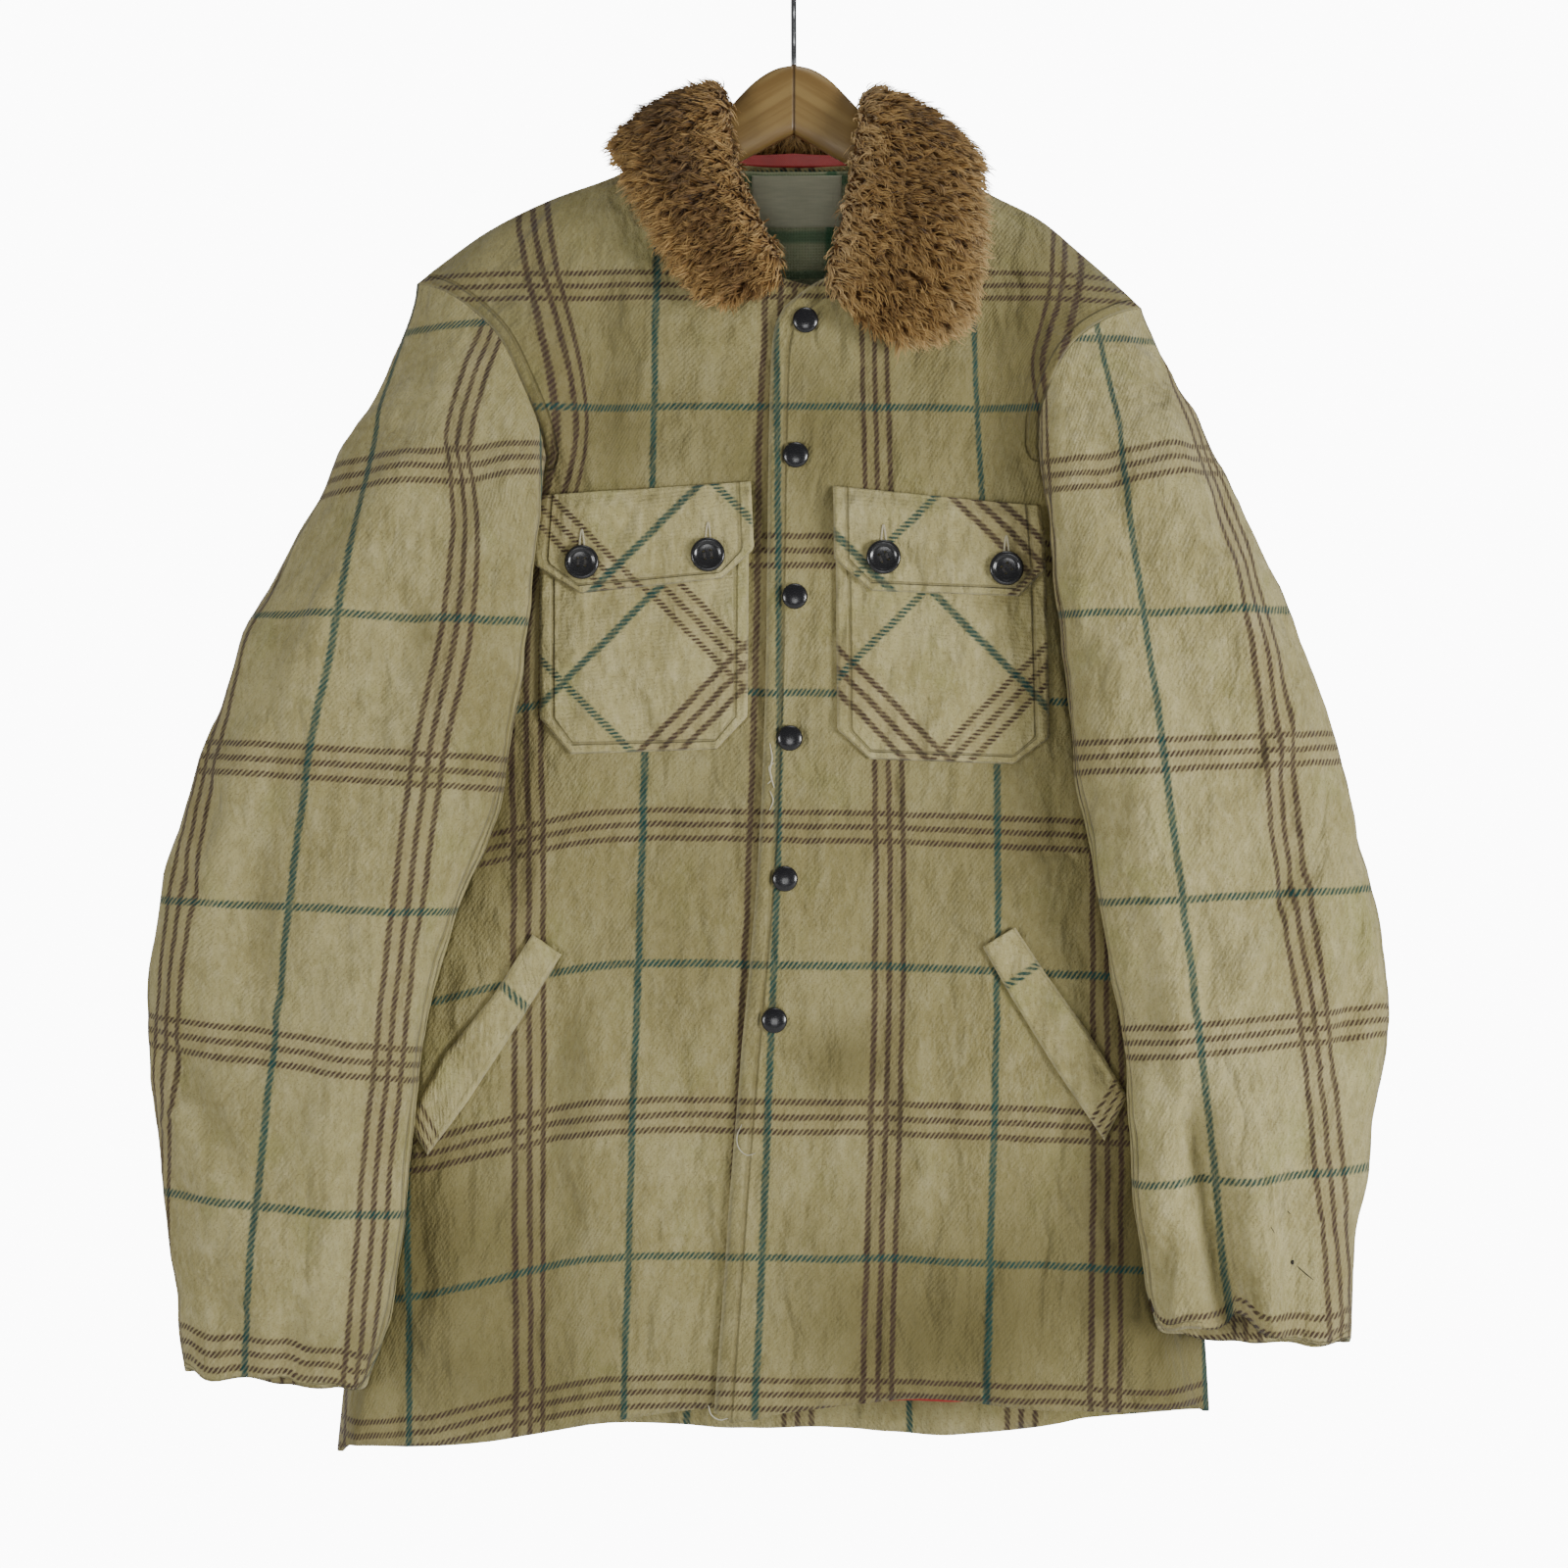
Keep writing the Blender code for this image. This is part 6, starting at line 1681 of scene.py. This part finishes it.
def makeInside(backTree):
    # pieces against the inside of the back follow it, moved in
    def laidIn(name, xs, zs, grid, stand, thickness, finish, wave):
        across, down = grid
        spots = {}

        def spot(i, j):
            if (i, j) not in spots:
                x = xs[0] + (xs[1] - xs[0]) * i / across
                z = zs[1] + (zs[0] - zs[1]) * j / down
                hit = backTree.ray_cast(Vector((x, 4 * mm, z)), backward)[0]
                y = (hit.y if hit else 0.03) - body["wool"] - stand - thickness
                y += wave * noise.noise(Vector((x * 60, 1.0, z * 90)))
                spots[i, j] = Vector((x, y, z))
            return spots[i, j]

        plainFabric(name, across, down, spot, thickness, finish)

    half = neck["facingHalf"]
    laidIn("neck_facing", (-half, half), neck["facingZ"], (48, 36), 0.8 * mm, 1.0 * mm, facingLook(), 1.2 * mm)
    laidIn("neck_label", *neck["label"], (40, 26), 2.4 * mm, 0.6 * mm, labelLook(), 1.0 * mm)
    laidIn("hem_lining", *neck["hem"], (40, 26), 0.9 * mm, 1.0 * mm, liningLook(), 1.2 * mm)

    across, up = neck["bandGrid"]

    def bandSpot(i, j):
        # the red strip stands on the back's neckline and leans back as it rises
        share = 2 * i / across - 1
        rise = j / up * neck["bandHeight"] * (1 - 0.35 * abs(share))
        depth = 18 + 4.5 * (j / up) ** 0.7 - 3 * share ** 2
        x = neck["bandHalf"] * share
        return Vector((x, depth * mm + noise.noise(Vector((x * 60, 2.0, rise * 90))) * 0.8 * mm,
                       backEdge(x) + 0.6 * mm + rise))

    plainFabric("neck_lining", across, up, bandSpot, 1.0 * mm, liningLook())


# Wooden hanger in two halves, joined on the middle line, and its wire hook
hanger = {
    "halves": {
        "right": columns("out top bottom half y",
                         (0, -68.6, -110.8, 7.5, -8), (11, -70.8, -116, 7.5, -8), (22, -77, -122, 7.5, -8),
                         (34, -88, -128, 7.5, -7), (58, -114.5, -142, 7.5, -5), (88, -136, -159, 7.5, -4),
                         (115, -143.0, -170, 8, -3), (151, -156.4, -183, 8, -3), (188, -175, -199, 8, -3),
                         (203, -185.3, -205, 7, -3)),
        "left": columns("out top bottom half y",
                        (0, -68.6, -110.8, 7.5, -8), (11, -71, -117, 7.5, -8), (22, -77.5, -123.5, 7.5, -8),
                        (34, -89, -130, 7.5, -7), (58, -114, -145, 7.5, -5), (88, -135.8, -161, 7.5, -4),
                        (121, -152.2, -180, 8, -3), (152, -170.2, -195, 8, -3), (176, -188.2, -209, 8, -3),
                        (188, -198.2, -214, 7, -3))},
    "around": 32, "along": 60,
    "lightWood": (0.275, 0.180, 0.058), "darkWood": (0.20, 0.120, 0.036), "jointColour": (0.06, 0.03, 0.01),
    "wire": 3.5 * mm, "insideRadius": 20 * mm, "hookDepth": -8 * mm, "woodTop": -68.6 * mm,
    "hookTurn": (-62, 208), "hookAround": 20, "hookAlong": 150,
    "wireColour": (0.36, 0.37, 0.38), "wireShade": (0.22, 0.225, 0.23),
}


def woodLook():
    look = Look("pearWood", 0.42, Coat_Weight=0.25, Coat_Roughness=0.3)
    spot = look.place()
    x, y, z = look.split(spot)
    away = x.math("ABSOLUTE")
    # the grain of each half falls away from the joint
    across = z * 0.86 + away * 0.51
    along = away * 0.86 - z * 0.51
    grain = look.node("ShaderNodeCombineXYZ", {}, (along * 0.10, y * 0.6, across * 1.6))
    bands = look.noise(grain, 95, 4, 0.6)
    pores = look.noise(look.node("ShaderNodeCombineXYZ", {}, (along * 0.12, y, across * 3)), 520, 3, 0.7)
    colour = look.mix(look.between(bands, 0.34, 0.68), hanger["darkWood"], hanger["lightWood"])
    colour = look.mix(look.between(pores, 0.58, 0.74) * 0.4, colour, hanger["darkWood"])
    seam = 1 - look.between(away, 0.0002, 0.0012)
    colour = look.mix(seam * 0.8, colour, hanger["jointColour"])
    return look.paint(Base_Color=colour, Roughness=look.between(bands, 0.3, 0.7, 0.34, 0.5),
                      Normal=look.bump(pores + bands - seam, 0.25, 0.0004))


def makeHanger():
    finish = woodLook()
    for side, table in hanger["halves"].items():
        sign = -1 if side == "right" else 1
        rows = withRows(table)
        last = rows["row"][-1]

        def point(around, along):
            at = last * along
            get = lambda column: read(rows, "row", column, at)
            top, bottom = get("top"), get("bottom")
            boxy = 0.42 + 0.5 * min(1.0, at / 5)
            end = math.sqrt(max(0.0, 1 - max(0.0, (at - last + 0.35) / 0.35) ** 2 * 0.8))
            c, s = boxed(2 * math.pi * (around + 0.5 / hanger["around"]), boxy)
            return Vector((sign * get("out"), get("y") + get("half") * c * end,
                           (top + bottom) / 2 + (top - bottom) / 2 * s * end))

        shape = tubeShape(hanger["around"], hanger["along"], point)
        fromShape("hanger_" + side, shape, finish, "hanger_" + side)


def wireLook():
    look = Look("steelWire", 0.28, Metallic=1.0)
    spot = look.place()
    drawn = look.noise(spot, 900, 3, 0.6)
    colour = look.mix(drawn, hanger["wireColour"], hanger["wireShade"])
    return look.paint(Base_Color=colour, Roughness=look.between(drawn, 0.3, 0.7, 0.22, 0.42))


def makeHook():
    # the same line as the solid's: up from the wood, then round over the rail
    radius = hanger["insideRadius"] + hanger["wire"] / 2
    middle = -hanger["insideRadius"]
    depth = hanger["hookDepth"]
    foot = hanger["woodTop"] + body["seam"]
    line = [(depth, foot), (depth, foot + 6 * mm), (depth * 0.8 + 1 * mm, foot + 14 * mm)]
    start, end = (math.radians(angle) for angle in hanger["hookTurn"])
    for k in range(33):
        angle = start + (end - start) * k / 32
        line.append((radius * math.cos(angle), middle + radius * math.sin(angle)))
    lengths = runningLengths(line)
    table = {"s": lengths, "y": [p[0] for p in line], "z": [p[1] for p in line]}

    def point(around, along):
        s = lengths[-1] * along
        y, z = read(table, "s", "y", s), read(table, "s", "z", s)
        ahead = Vector((0, read(table, "s", "y", s + mm) - read(table, "s", "y", s - mm),
                        read(table, "s", "z", s + mm) - read(table, "s", "z", s - mm))).normalized()
        side = Vector((0, ahead.z, -ahead.y))
        # the tip is rounded
        fromTip = lengths[-1] - s
        roundness = math.sqrt(max(0.05, 1 - max(0.0, 1 - fromTip / (hanger["wire"] / 2)) ** 2))
        angle = 2 * math.pi * around
        reach = hanger["wire"] / 2 * roundness
        return Vector((0, y, z)) + Vector((1, 0, 0)) * math.cos(angle) * reach + side * math.sin(angle) * reach

    shape = tubeShape(hanger["hookAround"], hanger["hookAlong"], point)
    fromShape("hook", shape, wireLook(), "hook")


def makeFloor():
    shape = bmesh.new()
    bmesh.ops.create_grid(shape, x_segments=2, y_segments=2, size=studio["floorSize"])
    bmesh.ops.translate(shape, verts=shape.verts[:], vec=(0, 0, studio["floorHeight"]))
    look = Look("paleFloor", 0.9)
    grain = look.noise(look.place(), 12, 3)
    finish = look.paint(Base_Color=look.mix(grain * 0.2, studio["floorColour"], studio["floorShade"]))
    mesh = bpy.data.meshes.new("floor")
    shape.to_mesh(mesh)
    shape.free()
    mesh.materials.append(finish)
    floor = bpy.data.objects.new("floor", mesh)
    bpy.context.scene.collection.objects.link(floor)


# What each sheet of cloth hangs on
hangsOn = {
    "back": ("hanger_right", "hanger_left"), "front_right": ("back", "hanger_right"),
    "front_left": ("back", "hanger_left"), "sleeve_right_top": ("front_right", "back"),
    "sleeve_right_under": ("front_right", "back"), "sleeve_left_top": ("front_left", "back"),
    "sleeve_left_under": ("front_left", "back"), "pocket_right": ("front_right",),
    "pocket_left": ("front_left",), "flap_right": ("front_right",), "flap_left": ("front_left",),
    "welt_right": ("front_right",), "welt_left": ("front_left",), "neck_facing": ("back",),
    "neck_label": ("neck_facing",), "neck_lining": ("back",), "hem_lining": ("back",),
}


def declareSheets():
    # each piece was cut to the widest and longest lines of its own grid
    for name, supports in hangsOn.items():
        width, length, area = sheets[name]
        list(supports)
        min(area, width * length)
        print("sheet", name, round(width, 3), round(length, 3), round(area, 4))


makeStudio()
makeFloor()
print("studio ready")
wool = woolLook()
makeFront("front_right", wool)
makeFront("front_left", wool)
makeBack(wool)
print("body ready")
for side in ("right", "left"):
    makeSleeve(side, wool)
print("sleeves ready")
for name in laidOn:
    makeLaid(name, wool)
print("pockets ready")
surfaces = {name: surfaceOf(piece) for name, piece in made.items()}
makeInside(surfaces["back"])
makeFastenings(surfaces)
makeWear(surfaces)
print("fastenings ready")
makeHanger()
makeHook()
makeCollar()
print("collar ready")
declareSheets()
